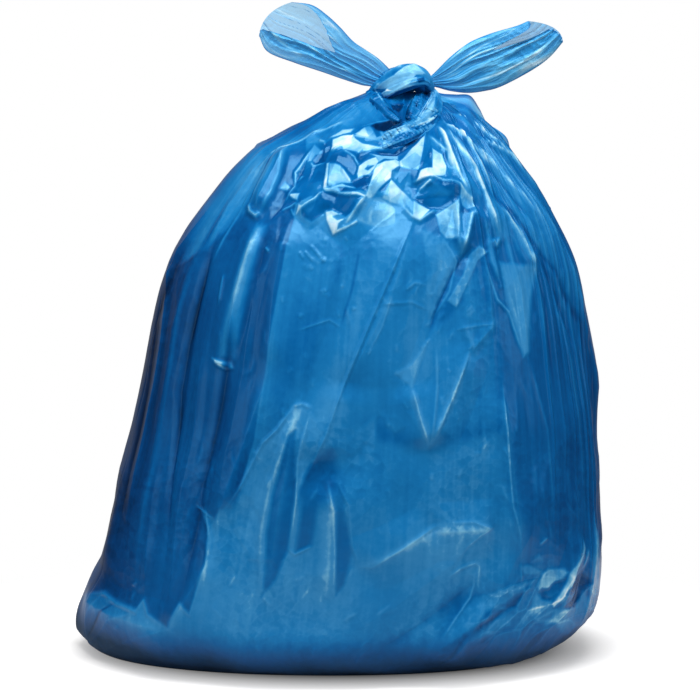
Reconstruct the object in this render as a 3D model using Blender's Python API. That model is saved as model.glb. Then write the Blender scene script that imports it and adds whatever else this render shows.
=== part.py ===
"""A full bin bag: one sheet of blue polythene film, knotted shut at the neck.

The bag is a single piece. Its film runs from the flat patch that it stands on, up the walls, into pleats
that gather at the neck, through the knot, and out into two ears. The bag can't be seen into, so it is one
solid. It stands on z = 0 and its front faces -Y. Lengths are in metres and angles in degrees.
"""

import math

import bmesh
import bpy
import numpy as np
from mathutils import Matrix, Vector, noise

# The flat patch that the bag stands on
FOOT_WIDTH = 0.436
FOOT_DEPTH = 0.230
FOOT_SHIFT = -0.016  # to the left of the bag's own middle

# The lowest bulge of film, just over the floor
HEM_RISE = 0.028
HEM_WIDTH = 0.496
HEM_DEPTH = 0.352
HEM_SHIFT = -0.007

# The widest part of the load
BELLY_RISE = 0.060
BELLY_WIDTH = 0.505
BELLY_DEPTH = 0.384
BELLY_SHIFT = 0.002

# Halfway up, where the load stops and the film only hangs
WAIST_RISE = 0.165
WAIST_WIDTH = 0.458
WAIST_DEPTH = 0.386
WAIST_SHIFT = 0.016

CHEST_RISE = 0.115
CHEST_WIDTH = 0.412
CHEST_DEPTH = 0.348
CHEST_SHIFT = 0.022

SHOULDER_RISE = 0.072
SHOULDER_WIDTH = 0.348
SHOULDER_DEPTH = 0.296
SHOULDER_SHIFT = 0.025

COLLAR_RISE = 0.058
COLLAR_WIDTH = 0.258
COLLAR_DEPTH = 0.212
COLLAR_SHIFT = 0.031

# The gathered film behind the knot
NECK_RISE = 0.035
NECK_WIDTH = 0.164
NECK_DEPTH = 0.122
NECK_SHIFT = 0.045

# Where the film is drawn together, and how far it bulges over that
TIE_RISE = 0.025
TIE_WIDTH = 0.066
TIE_DEPTH = 0.050
TIE_SHIFT = 0.051
CROWN_RISE = 0.006

# How square the bag is seen from above: 2 is an ellipse
SQUARENESS = 2.25

# The left bottom corner of the flat sack sticks out. The load has rounded the right one off.
LEFT_CORNER_REACH = 0.025
LEFT_CORNER_RISE = 0.016  # the tip of the corner over the floor
LEFT_CORNER_SPAN = 0.120  # from front to back, from the tip to where the corner is lost
LEFT_CORNER_TALL = 0.075  # the same, upwards
RIGHT_CORNER_PULL = 0.030
RIGHT_CORNER_SPAN = 0.150
RIGHT_CORNER_TALL = 0.048

# The gathers that run down from the tie: how far the film stands in and out, and where they have faded out
GATHER_DEPTH = 0.0040
LONG_GATHER_REACH = 0.300  # below the tie
SHORT_GATHER_REACH = 0.110
SWELL_DEPTH = 0.0024  # the broad waves that the gathers open into
SWELL_START = 0.100
SWELL_REACH = 0.380

# The crushed film in front of the neck
CRUSH_DEPTH = 0.0050
CRUSH_SIZE = 0.040  # across one dent
CRUSH_SHARPNESS = 3.2  # how deep the dents are against the ridges between them
CRUSH_ROUGHNESS = 0.22  # how much of the depth differs from point to point
CRUSH_START = 0.004  # how far below the tie the dents begin
CRUSH_FULL = 0.022
CRUSH_REACH = 0.150
CRUSH_TURN = 62.0  # to each side of its middle
CRUSH_MIDDLE = -6.0

# Slack film over the rest of the wall
SLACK_DEPTH = 0.0042
SLACK_SIZE = 0.150
FLAT_UP_TO = 0.035  # over the floor, where the weight of the load has pressed the folds out

# The knot, which lies on the front of the neck
KNOT_WIDTH = 0.060  # across the loop of the knot, between the middles of its strands
KNOT_TALL = 0.060
KNOT_DEPTH = 0.040  # from its middle to its foremost strand
KNOT_RISE = 0.012  # the knot's middle over the neck's ring
KNOT_SHIFT = 0.058
KNOT_FORWARD = 0.044
STRAND_RADIUS = 0.0138
STRAND_PLEATS = 7
STRAND_PLEAT_DEPTH = 0.0026

# The film pressed together behind the loop: how wide, deep and tall it is, and how far it is set back
HEART_WIDTH = 0.060
HEART_DEPTH = 0.056
HEART_TALL = 0.060
HEART_BACK = 0.032

# The knot's strands. A place is (x, y, z, girth): a point in the knot's own measures, where 1 is half its width,
# its depth and half its height, and how thick the strand is there.
OVER_STRAND = (
    (-1.55, 1.20, 0.10, 0.40),
    (-0.94, 0.75, 0.57, 0.60),
    (-0.54, 0.60, 0.70, 0.80),
    (-0.07, 0.50, 0.87, 0.94),
    (0.32, 0.45, 0.86, 0.90),
    (0.62, 0.45, 0.62, 0.70),
    (0.86, 0.32, 0.20, 0.50),
    (0.84, -0.13, -0.20, 0.54),
    (0.56, -0.55, -0.52, 0.62),
    (0.13, -0.90, -0.80, 0.68),
    (-0.34, -1.12, -1.02, 0.72),
    (-0.74, -1.30, -1.22, 0.74),
    (-1.10, -1.36, -1.32, 0.62),
    (-1.42, -1.32, -1.40, 0.36),
)
BACK_STRAND = (
    (-1.30, 1.10, 0.45, 0.55),
    (-0.75, 1.25, 0.62, 0.80),
    (0.05, 1.35, 0.76, 0.90),
    (0.70, 1.25, 0.66, 0.78),
    (1.20, 1.10, 0.76, 0.50),
)
LEFT_FOLD = (
    (-1.20, 0.85, 0.43, 0.40),
    (-1.07, 0.15, 0.13, 0.52),
    (-0.87, -0.20, -0.13, 0.56),
    (-0.64, -0.48, -0.40, 0.50),
    (-0.34, -0.70, -0.66, 0.36),
)
INNER_LOBE = (
    (0.46, 0.50, 0.30, 0.48),
    (0.33, 0.00, 0.03, 0.64),
    (0.16, -0.34, -0.26, 0.60),
    (-0.06, -0.64, -0.56, 0.40),
)

# The two ears of the knot
LEFT_EAR_LENGTH = 0.137
LEFT_EAR_WIDTH = 0.059
LEFT_EAR_LIFT = 32.0  # above the horizon
LEFT_EAR_LEAN = 4.0  # towards the back
LEFT_EAR_ROOT = (-0.72, 1.10, 0.67)  # in the knot's own measures
RIGHT_EAR_LENGTH = 0.138
RIGHT_EAR_WIDTH = 0.056
RIGHT_EAR_LIFT = 24.5
RIGHT_EAR_LEAN = 4.0
RIGHT_EAR_ROOT = (0.66, 1.10, 0.77)
EAR_THICKNESS = 0.0130
EAR_PLEAT_DEPTH = 0.0030
EAR_UNEVENNESS = 0.0006

# How finely the film is divided
GATHERS = 22  # gathers round the tie
COLUMNS = 4 * GATHERS
FOOT_ROWS = 2
WALL_ROWS = 37
ROW_CROWDING = 0.35  # the rings near the tie are this much closer together than evenly spaced ones
CROWN_ROWS = 3
EAR_COLUMNS = 22
EAR_ROWS = 16
STRAND_SIDES = 2 * STRAND_PLEATS
STRAND_STEPS = 3
SEED = 11

FILM_BLUE = (0.010, 0.150, 0.420, 1.0)
FILM_ROUGHNESS = 0.24

# Creases of the wall, each from one end to the other. An end is (turn, height): the turn is in degrees round
# the bag from its front, to the right if positive, and the height is a share of the way up to the neck.
# The last two are how far the film stands out along the crease and how wide its flanks are.
CREASES = (
    ((9, 0.82), (-4, 0.54), 0.0070, 0.032),  # the right edge of the middle panel
    ((-4, 0.54), (-8, 0.42), 0.0055, 0.028),
    ((-24, 0.83), (-22, 0.56), 0.0065, 0.030),  # its left edge
    ((-22, 0.56), (-30, 0.30), 0.0065, 0.030),
    ((-44, 0.95), (-38, 0.83), 0.0070, 0.022),  # the tube of film on the left shoulder, and the folds below it
    ((-34, 0.82), (-34, 0.58), 0.0055, 0.026),
    ((-50, 0.77), (-48, 0.40), -0.0050, 0.026),
    ((-57, 0.77), (-53, 0.21), 0.0055, 0.028),
    ((24, 0.98), (29, 0.85), 0.0060, 0.020),  # taut folds that fan out down the right
    ((34, 0.97), (36, 0.79), 0.0060, 0.022),
    ((41, 0.85), (48, 0.73), 0.0050, 0.024),
    ((48, 0.80), (64, 0.60), -0.0050, 0.026),
    ((60, 0.88), (84, 0.44), 0.0055, 0.028),
    ((-14, 0.51), (-16, 0.18), 0.0060, 0.028),  # the arch of slack film, and the spout beside it
    ((-5, 0.38), (-4, 0.18), 0.0055, 0.026),
    ((1, 0.23), (14, 0.29), 0.0050, 0.028),  # where the slack film meets the load
    ((14, 0.29), (28, 0.29), 0.0050, 0.028),
    ((4, 0.06), (25, 0.20), -0.0050, 0.030),
    ((20, 0.04), (27, 0.16), 0.0055, 0.026),
    ((-82, 0.11), (-38, 0.10), 0.0045, 0.028),
    ((-38, 0.10), (-30, 0.23), 0.0045, 0.026),
    ((30, 0.52), (36, 0.24), 0.0045, 0.026),
    ((8, 0.54), (12, 0.44), 0.0045, 0.024),  # a pointed fold in the middle of the right
    ((22, 0.60), (12, 0.44), 0.0045, 0.024),
    ((50, 0.12), (59, 0.25), 0.0050, 0.024),  # the crumpled right corner
    ((64, 0.09), (68, 0.26), 0.0050, 0.024),
    ((-15, 0.94), (-15, 0.87), 0.0060, 0.020),  # sharp ridges of the crushed film under the knot
    ((-15, 0.87), (-22, 0.83), 0.0060, 0.020),
    ((-16, 0.87), (-2, 0.86), 0.0060, 0.018),
    ((2, 0.93), (-2, 0.86), 0.0060, 0.020),
    ((-2, 0.86), (-10, 0.80), 0.0060, 0.020),
    ((16, 0.95), (12, 0.88), 0.0060, 0.018),
    ((12, 0.88), (26, 0.87), 0.0060, 0.018),
    ((29, 0.84), (22, 0.77), 0.0060, 0.018),
    ((118, 0.84), (108, 0.20), 0.0070, 0.040),  # the back
    ((148, 0.86), (156, 0.30), 0.0070, 0.042),
    ((184, 0.88), (172, 0.46), 0.0070, 0.042),
    ((212, 0.84), (224, 0.22), 0.0070, 0.042),
    ((244, 0.80), (238, 0.26), 0.0065, 0.038),
    ((172, 0.46), (196, 0.16), 0.0060, 0.040),
)


def clear_scene():
    for thing in list(bpy.data.objects):
        bpy.data.objects.remove(thing, do_unlink=True)


def collection_named(name):
    collection = bpy.data.collections.new(name)
    bpy.context.scene.collection.children.link(collection)
    return collection


def film_material():
    material = bpy.data.materials.new("blue_film")
    material.use_nodes = True
    shader = material.node_tree.nodes["Principled BSDF"]
    shader.inputs["Base Color"].default_value = FILM_BLUE
    shader.inputs["Roughness"].default_value = FILM_ROUGHNESS
    shader.inputs["Metallic"].default_value = 0.0
    material.diffuse_color = FILM_BLUE
    return material


def smooth_step(value, start, end):
    """0 before start, 1 after end, and a smooth ramp between them."""
    share = np.clip((value - start) / (end - start), 0.0, 1.0)
    return share * share * (3.0 - 2.0 * share)


def tent(distance, width):
    """1 on a crease, falling in straight flanks to 0 at this width."""
    return np.clip(1.0 - np.abs(distance) / width, 0.0, 1.0)


def wall_levels():
    """The rings that shape the wall: height, half width, shift to the right and half depth of each."""
    steps = (
        (0.0, FOOT_WIDTH, FOOT_SHIFT, FOOT_DEPTH),
        (HEM_RISE, HEM_WIDTH, HEM_SHIFT, HEM_DEPTH),
        (BELLY_RISE, BELLY_WIDTH, BELLY_SHIFT, BELLY_DEPTH),
        (WAIST_RISE, WAIST_WIDTH, WAIST_SHIFT, WAIST_DEPTH),
        (CHEST_RISE, CHEST_WIDTH, CHEST_SHIFT, CHEST_DEPTH),
        (SHOULDER_RISE, SHOULDER_WIDTH, SHOULDER_SHIFT, SHOULDER_DEPTH),
        (COLLAR_RISE, COLLAR_WIDTH, COLLAR_SHIFT, COLLAR_DEPTH),
        (NECK_RISE, NECK_WIDTH, NECK_SHIFT, NECK_DEPTH),
        (TIE_RISE, TIE_WIDTH, TIE_SHIFT, TIE_DEPTH),
    )
    height = 0.0
    levels = []
    for rise, width, shift, depth in steps:
        height += rise
        levels.append((height, width / 2, shift, depth / 2))
    return np.array(levels)


def curve_through(points, count):
    """Points along a smooth curve through these, closer together towards its end."""
    fine = 24
    slopes = np.gradient(points, axis=0)
    slopes[0] = points[1] - points[0]
    slopes[-1] = points[-1] - points[-2]
    dense = []
    for i in range(len(points) - 1):
        for k in range(fine):
            t = k / fine
            dense.append(
                (2 * t**3 - 3 * t**2 + 1) * points[i]
                + (t**3 - 2 * t**2 + t) * slopes[i]
                + (3 * t**2 - 2 * t**3) * points[i + 1]
                + (t**3 - t**2) * slopes[i + 1]
            )
    dense = np.array([*dense, points[-1]])
    steps = np.linalg.norm(np.diff(dense[:, :2], axis=0), axis=1)
    along = np.concatenate([[0.0], np.cumsum(steps)])
    share = np.linspace(0.0, 1.0, count)
    wanted = along[-1] * share * (1.0 + ROW_CROWDING * (1.0 - share))
    return np.stack([np.interp(wanted, along, column) for column in dense.T], axis=1)


def ring(level, turns):
    """Points round one level of the wall, as a rounded rectangle. A turn of 0 is the front, and 90 the right."""
    height, half_width, shift, half_depth = level
    sine, cosine = np.sin(turns), np.cos(turns)
    rounding = 2.0 / SQUARENESS
    across = half_width * np.sign(sine) * np.abs(sine) ** rounding
    deep = half_depth * np.sign(cosine) * np.abs(cosine) ** rounding
    return np.stack([shift + across, -deep, np.full_like(turns, height)], axis=1)


def even_turns(columns):
    """Angles that space points evenly round a rounded rectangle of the belly's proportions."""
    dense = np.linspace(0.0, 2 * math.pi, 2881)
    points = ring((0.0, BELLY_WIDTH / 2, 0.0, BELLY_DEPTH / 2), dense)
    along = np.concatenate([[0.0], np.cumsum(np.linalg.norm(np.diff(points, axis=0), axis=1))])
    return np.interp(np.arange(columns) * along[-1] / columns, along, dense)


def wall_grid():
    """The wall without its folds, as rings of points from the foot to the tie."""
    levels = curve_through(wall_levels(), WALL_ROWS + 1)
    turns = even_turns(COLUMNS)
    return np.array([ring(level, turns) for level in levels]), turns


def outward(grid):
    """The direction that faces out of the bag at each point of its wall."""
    around = np.roll(grid, -1, axis=1) - np.roll(grid, 1, axis=1)
    upward = np.gradient(grid, axis=0)
    normal = np.cross(around, upward)
    return normal / np.linalg.norm(normal, axis=2, keepdims=True)


def corner_reach(grid):
    """How far to the left or the right the two bottom corners of the flat sack move its film."""
    sideways, back, height = np.moveaxis(grid, 2, 0)
    left = tent(height - LEFT_CORNER_RISE, LEFT_CORNER_TALL) * tent(back, LEFT_CORNER_SPAN)
    right = tent(height, RIGHT_CORNER_TALL) * tent(back, RIGHT_CORNER_SPAN)
    return np.where(sideways < 0, -LEFT_CORNER_REACH * left, -RIGHT_CORNER_PULL * right)


def gather_depth(grid, rng):
    """The gathers under the tie. Their ridges are long and their valleys short, each of a size of its own."""
    below = grid[-1, 0, 2] - grid[..., 2]
    columns = grid.shape[1]
    depth = np.zeros(grid.shape[:2])
    for column in range(columns):
        is_ridge = column % 2 == 0
        reach = rng.uniform(0.55, 1.0) * (LONG_GATHER_REACH if is_ridge else SHORT_GATHER_REACH)
        size = rng.uniform(0.5, 1.0) * (GATHER_DEPTH if is_ridge else -GATHER_DEPTH)
        depth[:, column] += size * (1.0 - smooth_step(below[:, column], 0.15 * reach, reach))
    for count in (GATHERS // 2, GATHERS // 3):
        phase = rng.uniform(0.0, 2 * math.pi)
        wave = np.sin(np.arange(columns) / columns * 2 * math.pi * count + phase)
        depth += SWELL_DEPTH * wave * (1.0 - smooth_step(below, SWELL_START, SWELL_REACH))
    return depth


def turned_by(turns, middle):
    """The angle of each column from a middle, in degrees, wrapped to the shorter way round."""
    return (np.degrees(turns) - middle + 180.0) % 360.0 - 180.0


def crush_depth(grid, turns, rng):
    """Sharp dents in the film under the knot."""
    below = grid[-1, 0, 2] - grid[..., 2]
    aside = np.abs(turned_by(turns, CRUSH_MIDDLE))
    where = (1.0 - smooth_step(aside, 0.45 * CRUSH_TURN, CRUSH_TURN))[None, :]
    where = where * smooth_step(below, CRUSH_START, CRUSH_FULL)
    where = where * (1.0 - smooth_step(below, 0.6 * CRUSH_REACH, CRUSH_REACH))
    dents = np.array([[abs(noise.noise(Vector(p) / CRUSH_SIZE)) for p in row] for row in grid])
    dents = 1.0 - CRUSH_SHARPNESS * dents
    dents += rng.uniform(-CRUSH_ROUGHNESS, CRUSH_ROUGHNESS, dents.shape)
    return CRUSH_DEPTH * where * dents


def slack_depth(grid):
    """Broad, shallow waves over the whole wall."""
    waves = np.array([[noise.noise(Vector(p) / SLACK_SIZE) for p in row] for row in grid])
    return SLACK_DEPTH * waves


def crease_depth(grid, turns):
    """The named creases of the wall, each a ridge with straight flanks that dies away at both ends."""
    neck = neck_height()
    girth = np.linalg.norm(np.roll(grid, -1, axis=1) - grid, axis=2).sum(axis=1) / 360.0
    depth = np.zeros(grid.shape[:2])
    for (turn_a, high_a), (turn_b, high_b), size, width in CREASES:
        # A crease is measured on the unrolled film, where a degree of turn is as long as it is on the bag.
        across = turned_by(turns, turn_a)[None, :] * girth[:, None]
        run = (turn_b - turn_a) * girth[:, None]
        up = grid[..., 2] - high_a * neck
        rise = (high_b - high_a) * neck
        length = np.hypot(run, rise)
        along = (across * run + up * rise) / length**2
        aside = (across * rise - up * run) / length
        ends = smooth_step(along, -0.10, 0.22) * (1.0 - smooth_step(along, 0.78, 1.10))
        depth += size * tent(aside, width) * ends
    return depth


def body_rows():
    """All rings of the bag's body, from its crown down to the foot, without the two poles that close it."""
    rng = np.random.default_rng(SEED)
    wall, turns = wall_grid()
    facing = outward(wall)
    depth = gather_depth(wall, rng) + crush_depth(wall, turns, rng)
    depth += slack_depth(wall) + crease_depth(wall, turns)
    depth *= smooth_step(wall[..., 2], 0.0, FLAT_UP_TO)
    folded = wall + facing * depth[..., None]
    folded[..., 0] += corner_reach(wall)
    foot_middle = np.array([FOOT_SHIFT, 0.0, 0.0])
    foot = [foot_middle + (folded[0] - foot_middle) * k / FOOT_ROWS for k in range(1, FOOT_ROWS)]
    tie_middle = folded[-1].mean(axis=0)
    drawn_in = []
    for k in range(1, CROWN_ROWS):
        share = k / CROWN_ROWS
        closing = tie_middle + (folded[-1] - tie_middle) * (1.0 - share)
        closing[:, 2] = folded[-1][:, 2] + (crown_height() - folded[-1][:, 2]) * math.sin(share * math.pi / 2)
        drawn_in.append(closing)
    upward = [*foot, *folded, *drawn_in]
    return np.array(upward[::-1]), foot_middle


def neck_height():
    return float(wall_levels()[-2, 0])


def crown_height():
    """The top of the body's film, inside the knot."""
    return float(wall_levels()[-1, 0]) + CROWN_RISE


def skin_from_sphere(name, rows, top, bottom, material, collection):
    """A closed skin: a UV sphere whose rings are laid on these rows of points, top ring first."""
    ring_count, columns = len(rows) + 1, rows.shape[1]
    cage = bmesh.new()
    bmesh.ops.create_uvsphere(cage, u_segments=columns, v_segments=ring_count, radius=1.0)
    for vertex in cage.verts:
        step = round(math.acos(max(-1.0, min(1.0, vertex.co.z))) / math.pi * ring_count)
        if step == 0:
            vertex.co = top
        elif step == ring_count:
            vertex.co = bottom
        else:
            column = round(math.atan2(vertex.co.y, vertex.co.x) / (2 * math.pi) * columns) % columns
            vertex.co = rows[step - 1, column]
    bmesh.ops.triangulate(cage, faces=cage.faces)
    bmesh.ops.recalc_face_normals(cage, faces=cage.faces)
    mesh = bpy.data.meshes.new(name)
    cage.to_mesh(mesh)
    cage.free()
    mesh.materials.append(material)
    skin = bpy.data.objects.new(name, mesh)
    collection.objects.link(skin)
    return skin


def in_knot(x, y, z):
    """A point given in the knot's own measures."""
    middle = Vector((KNOT_SHIFT, -KNOT_FORWARD, neck_height() + KNOT_RISE))
    return middle + Vector((x * KNOT_WIDTH / 2, y * KNOT_DEPTH, z * KNOT_TALL / 2))


def pleated_profile(name, collection):
    """The section of a strand of gathered film: a round bundle with pleats in its outside, for a path of scale 1."""
    data = bpy.data.curves.new(name, "CURVE")
    data.dimensions = "2D"
    spline = data.splines.new("POLY")
    spline.points.add(STRAND_SIDES - 1)
    for k, point in enumerate(spline.points):
        radius = STRAND_RADIUS - (STRAND_PLEAT_DEPTH if k % 2 else 0.0)
        angle = 2 * math.pi * k / STRAND_SIDES
        point.co = (radius * math.cos(angle), radius * math.sin(angle), 0.0, 1.0)
    spline.use_cyclic_u = True
    profile = bpy.data.objects.new(name, data)
    collection.objects.link(profile)
    return profile


def strand(name, places, profile, collection):
    """A strand of gathered film through these places."""
    data = bpy.data.curves.new(name, "CURVE")
    data.dimensions = "3D"
    data.resolution_u = STRAND_STEPS
    data.bevel_mode = "OBJECT"
    data.bevel_object = profile
    data.use_fill_caps = True
    spline = data.splines.new("NURBS")
    spline.points.add(len(places) - 1)
    spline.order_u = 4
    spline.use_endpoint_u = True
    spline.resolution_u = STRAND_STEPS
    for point, (x, y, z, girth) in zip(spline.points, places, strict=True):
        point.co = (*in_knot(x, y, z), 1.0)
        point.radius = girth
    bundle = bpy.data.objects.new(name + "_path", data)
    collection.objects.link(bundle)
    return meshed(bundle, name, collection)


def meshed(shape, name, collection):
    """A curve made a mesh with welded caps, in the curve's place."""
    bpy.context.view_layer.update()
    graph = bpy.context.evaluated_depsgraph_get()
    mesh = bpy.data.meshes.new_from_object(shape.evaluated_get(graph))
    cage = bmesh.new()
    cage.from_mesh(mesh)
    bmesh.ops.remove_doubles(cage, verts=cage.verts, dist=0.00001)
    bmesh.ops.recalc_face_normals(cage, faces=cage.faces)
    cage.to_mesh(mesh)
    cage.free()
    solid = bpy.data.objects.new(name, mesh)
    solid.matrix_world = shape.matrix_world
    collection.objects.link(solid)
    bpy.data.objects.remove(shape, do_unlink=True)
    return solid


def ear_rows(length, width, rng):
    """Rings of one ear along +X from its root, in a frame where Y is its width and Z its thickness.

    The film fans out of the knot in pleats, is widest at three quarters of its length and ends in the
    folded mouth of the sack, which is cut nearly straight across.
    """
    root_share, tip_share = 0.40, 0.70
    pleats = EAR_COLUMNS // 2
    rows = []
    for step in range(1, EAR_ROWS):
        share = step / EAR_ROWS
        fan = root_share + (1.0 - root_share) * float(smooth_step(share, 0.0, 0.72))
        fan -= (1.0 - tip_share) * float(smooth_step(share, 0.74, 1.0))
        half = width / 2 * fan
        thick = EAR_THICKNESS / 2 * (1.25 - 0.75 * share)
        ring_points = []
        for column in range(EAR_COLUMNS):
            angle = 2 * math.pi * column / EAR_COLUMNS
            across = half * math.cos(angle)
            fold = EAR_PLEAT_DEPTH * (1.0 if column % 2 else -1.0) * (1.0 - 0.6 * share)
            fold *= 0.6 + 0.4 * math.cos(pleats * share)
            up = (thick + fold) * math.sin(angle) + 0.10 * half * math.sin(2.4 * share + across / width * 5.0)
            along = length * share + 0.06 * across * share
            ring_points.append((along, across, up + rng.uniform(-EAR_UNEVENNESS, EAR_UNEVENNESS)))
        rows.append(ring_points)
    return np.array(rows)


def ear(name, root, lift, lean, side, length, width, material, collection):
    """One ear, from its root in the knot. side is -1 for the left ear and 1 for the right one."""
    rng = np.random.default_rng(SEED + (2 if side > 0 else 1))
    rows = ear_rows(length, width, rng)
    start = Vector((0.0, 0.0, 0.0))
    end = Vector((length * 0.985, 0.0, float(rows[-1][:, 2].mean())))
    leaf = skin_from_sphere(name, rows, start, end, material, collection)
    along = Vector(
        (
            side * math.cos(math.radians(lift)) * math.cos(math.radians(lean)),
            math.sin(math.radians(lean)),
            math.sin(math.radians(lift)) * math.cos(math.radians(lean)),
        )
    )
    facing = Vector((0.0, -1.0, 0.0))
    facing = (facing - along * facing.dot(along)).normalized()
    across = facing.cross(along)
    leaf.data.transform(Matrix((along, across, facing)).transposed().to_4x4())
    leaf.location = root
    return leaf


def heart(name, collection):
    """The film pressed together behind the loop of the knot."""
    cage = bmesh.new()
    bmesh.ops.create_uvsphere(cage, u_segments=14, v_segments=8, radius=0.5)
    bmesh.ops.scale(cage, verts=cage.verts, vec=(HEART_WIDTH, HEART_DEPTH, HEART_TALL))
    mesh = bpy.data.meshes.new(name)
    cage.to_mesh(mesh)
    cage.free()
    solid = bpy.data.objects.new(name, mesh)
    solid.location = in_knot(0.0, 0.0, 0.0) + Vector((0.0, HEART_BACK, 0.0))
    collection.objects.link(solid)
    return solid


def knot_pieces(material, profile, collection):
    """The strand that loops round the knot, the folds inside and behind its loop, its heart and the two ears."""
    over = strand("over_strand", OVER_STRAND, profile, collection)
    back = strand("back_strand", BACK_STRAND, profile, collection)
    fold = strand("left_fold", LEFT_FOLD, profile, collection)
    lobe = strand("inner_lobe", INNER_LOBE, profile, collection)
    left = ear(
        "left_ear",
        in_knot(*LEFT_EAR_ROOT),
        LEFT_EAR_LIFT,
        LEFT_EAR_LEAN,
        -1,
        LEFT_EAR_LENGTH,
        LEFT_EAR_WIDTH,
        material,
        collection,
    )
    right = ear(
        "right_ear",
        in_knot(*RIGHT_EAR_ROOT),
        RIGHT_EAR_LIFT,
        RIGHT_EAR_LEAN,
        1,
        RIGHT_EAR_LENGTH,
        RIGHT_EAR_WIDTH,
        material,
        collection,
    )
    return over, back, heart("knot_heart", collection), fold, lobe, left, right


def join(bag, piece, crosses_itself):
    """Makes a piece of the same film part of the bag."""
    union = bag.modifiers.new("join_" + piece.name, "BOOLEAN")
    union.operation = "UNION"
    union.solver = "EXACT"
    union.use_self = crosses_itself
    union.object = piece


def islands(cage):
    """The separate closed skins of a mesh, each as a list of faces."""
    left = set(cage.faces)
    found = []
    while left:
        skin = [left.pop()]
        for face in skin:
            for edge in face.edges:
                for other in edge.link_faces:
                    if other in left:
                        left.remove(other)
                        skin.append(other)
        found.append(skin)
    return found


def volume_inside(skin):
    """The volume that a skin encloses. It is negative for a hollow, whose faces look inwards."""
    volume = 0.0
    for face in skin:
        corners = [vertex.co for vertex in face.verts]
        for second, third in zip(corners[1:], corners[2:], strict=False):
            volume += corners[0].dot(second.cross(third)) / 6.0
    return volume


def one_skin(bag, pieces):
    """Joins the pieces for good, and fills the air that is shut in between the folds of the knot."""
    bpy.context.view_layer.update()
    graph = bpy.context.evaluated_depsgraph_get()
    mesh = bpy.data.meshes.new_from_object(bag.evaluated_get(graph))
    cage = bmesh.new()
    cage.from_mesh(mesh)
    hollows = [face for skin in islands(cage) if volume_inside(skin) < 0.0 for face in skin]
    bmesh.ops.delete(cage, geom=hollows, context="FACES")
    cage.to_mesh(mesh)
    cage.free()
    bag.modifiers.clear()
    bag.data = mesh
    for piece in pieces:
        bpy.data.objects.remove(piece, do_unlink=True)


def stand_over_origin(bag):
    """Moves the film sideways so that the finished bag's box is centred on the origin."""
    spots = np.array([vertex.co[:] for vertex in bag.data.vertices])
    middle = (spots.min(axis=0) + spots.max(axis=0)) / 2
    bag.data.transform(Matrix.Translation((-middle[0], -middle[1], 0.0)))


def build():
    clear_scene()
    parts = collection_named("bin_bag")
    joined = collection_named("joined_film")
    material = film_material()
    rows, foot_middle = body_rows()
    crown = rows[0].mean(axis=0)
    crown[2] = crown_height()
    bag = skin_from_sphere("bin_bag", rows, Vector(crown), Vector(foot_middle), material, parts)
    profile = pleated_profile("strand_section", joined)
    pieces = knot_pieces(material, profile, joined)
    for piece in pieces:
        join(bag, piece, crosses_itself=piece is pieces[0])
    one_skin(bag, [*pieces, profile])
    bpy.data.collections.remove(joined)
    stand_over_origin(bag)
    bag.data.shade_smooth()
    bag.data.set_sharp_from_angle(angle=math.radians(38))


build()
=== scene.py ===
import math

import bpy
import numpy as np
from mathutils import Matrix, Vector, noise


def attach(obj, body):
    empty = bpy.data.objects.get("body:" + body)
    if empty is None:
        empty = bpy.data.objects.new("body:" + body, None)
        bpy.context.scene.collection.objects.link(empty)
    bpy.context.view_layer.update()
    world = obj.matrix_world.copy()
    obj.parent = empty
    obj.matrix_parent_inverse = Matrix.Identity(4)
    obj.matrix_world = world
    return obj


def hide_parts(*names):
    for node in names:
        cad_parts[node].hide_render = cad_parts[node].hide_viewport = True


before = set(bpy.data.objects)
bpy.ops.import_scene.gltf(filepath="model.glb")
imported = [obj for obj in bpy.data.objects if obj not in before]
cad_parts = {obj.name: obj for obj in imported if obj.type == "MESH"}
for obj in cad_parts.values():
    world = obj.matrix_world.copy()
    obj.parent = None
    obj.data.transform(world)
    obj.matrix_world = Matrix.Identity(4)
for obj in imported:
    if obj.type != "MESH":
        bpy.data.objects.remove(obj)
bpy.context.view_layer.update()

# A full bin bag: one sheet of blue polythene film, knotted on itself.

# What the camera sees. Pixels in this file are in the 700 by 700 frame.
photo = dict(
    size=700,
    metresAcross=0.700,  # at the bag's middle
    distance=2.20,
    elevation=6.5,  # degrees
    aimX=0.0119,
    aimZ=0.3015,
)


def report(*words):
    print("bin bag:", *words)


def linear(code):
    # an sRGB hex colour as linear light
    parts = [int(code[i:i + 2], 16) / 255 for i in (1, 3, 5)]
    return [*(c / 12.92 if c <= 0.04045 else ((c + 0.055) / 1.055) ** 2.4 for c in parts), 1.0]


def smooth(value, start, end):
    share = np.clip((value - start) / (end - start), 0.0, 1.0)
    return share * share * (3.0 - 2.0 * share)


def crests(value, sharpness=1.0):
    # 1 on crests, falling straight to 0 between them
    return np.clip(1 - np.abs(2 * value) * sharpness, 0, 1)


def noiseAt(*coordinates):
    # smooth noise at three coordinates, each a grid, a row, a column or a number
    grids = np.broadcast_arrays(*coordinates)
    flat = (grid.reshape(-1).tolist() for grid in grids)
    return np.array([noise.noise(Vector(place)) for place in zip(*flat)]).reshape(grids[0].shape)


def noiseOver(points, size, seed):
    # smooth noise over points of the bag, with features of about this size in metres
    return noiseAt(*np.moveaxis(points / size + seed, -1, 0))


def node(tree, kind, inputs=(), **settings):
    # adds a node with its settings, and links or sets its inputs. A node as an input means its first output
    made = tree.nodes.new(kind)
    for name, value in settings.items():
        setattr(made, name, value)
    for name, value in dict(inputs).items():
        if isinstance(value, bpy.types.Node):
            value = value.outputs[0]
        if isinstance(value, bpy.types.NodeSocket):
            tree.links.new(value, made.inputs[name])
        else:
            made.inputs[name].default_value = value
    return made


def emptyMaterial(name):
    material = bpy.data.materials.new(name)
    material.use_nodes = True
    material.node_tree.nodes.clear()
    return material, material.node_tree


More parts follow.
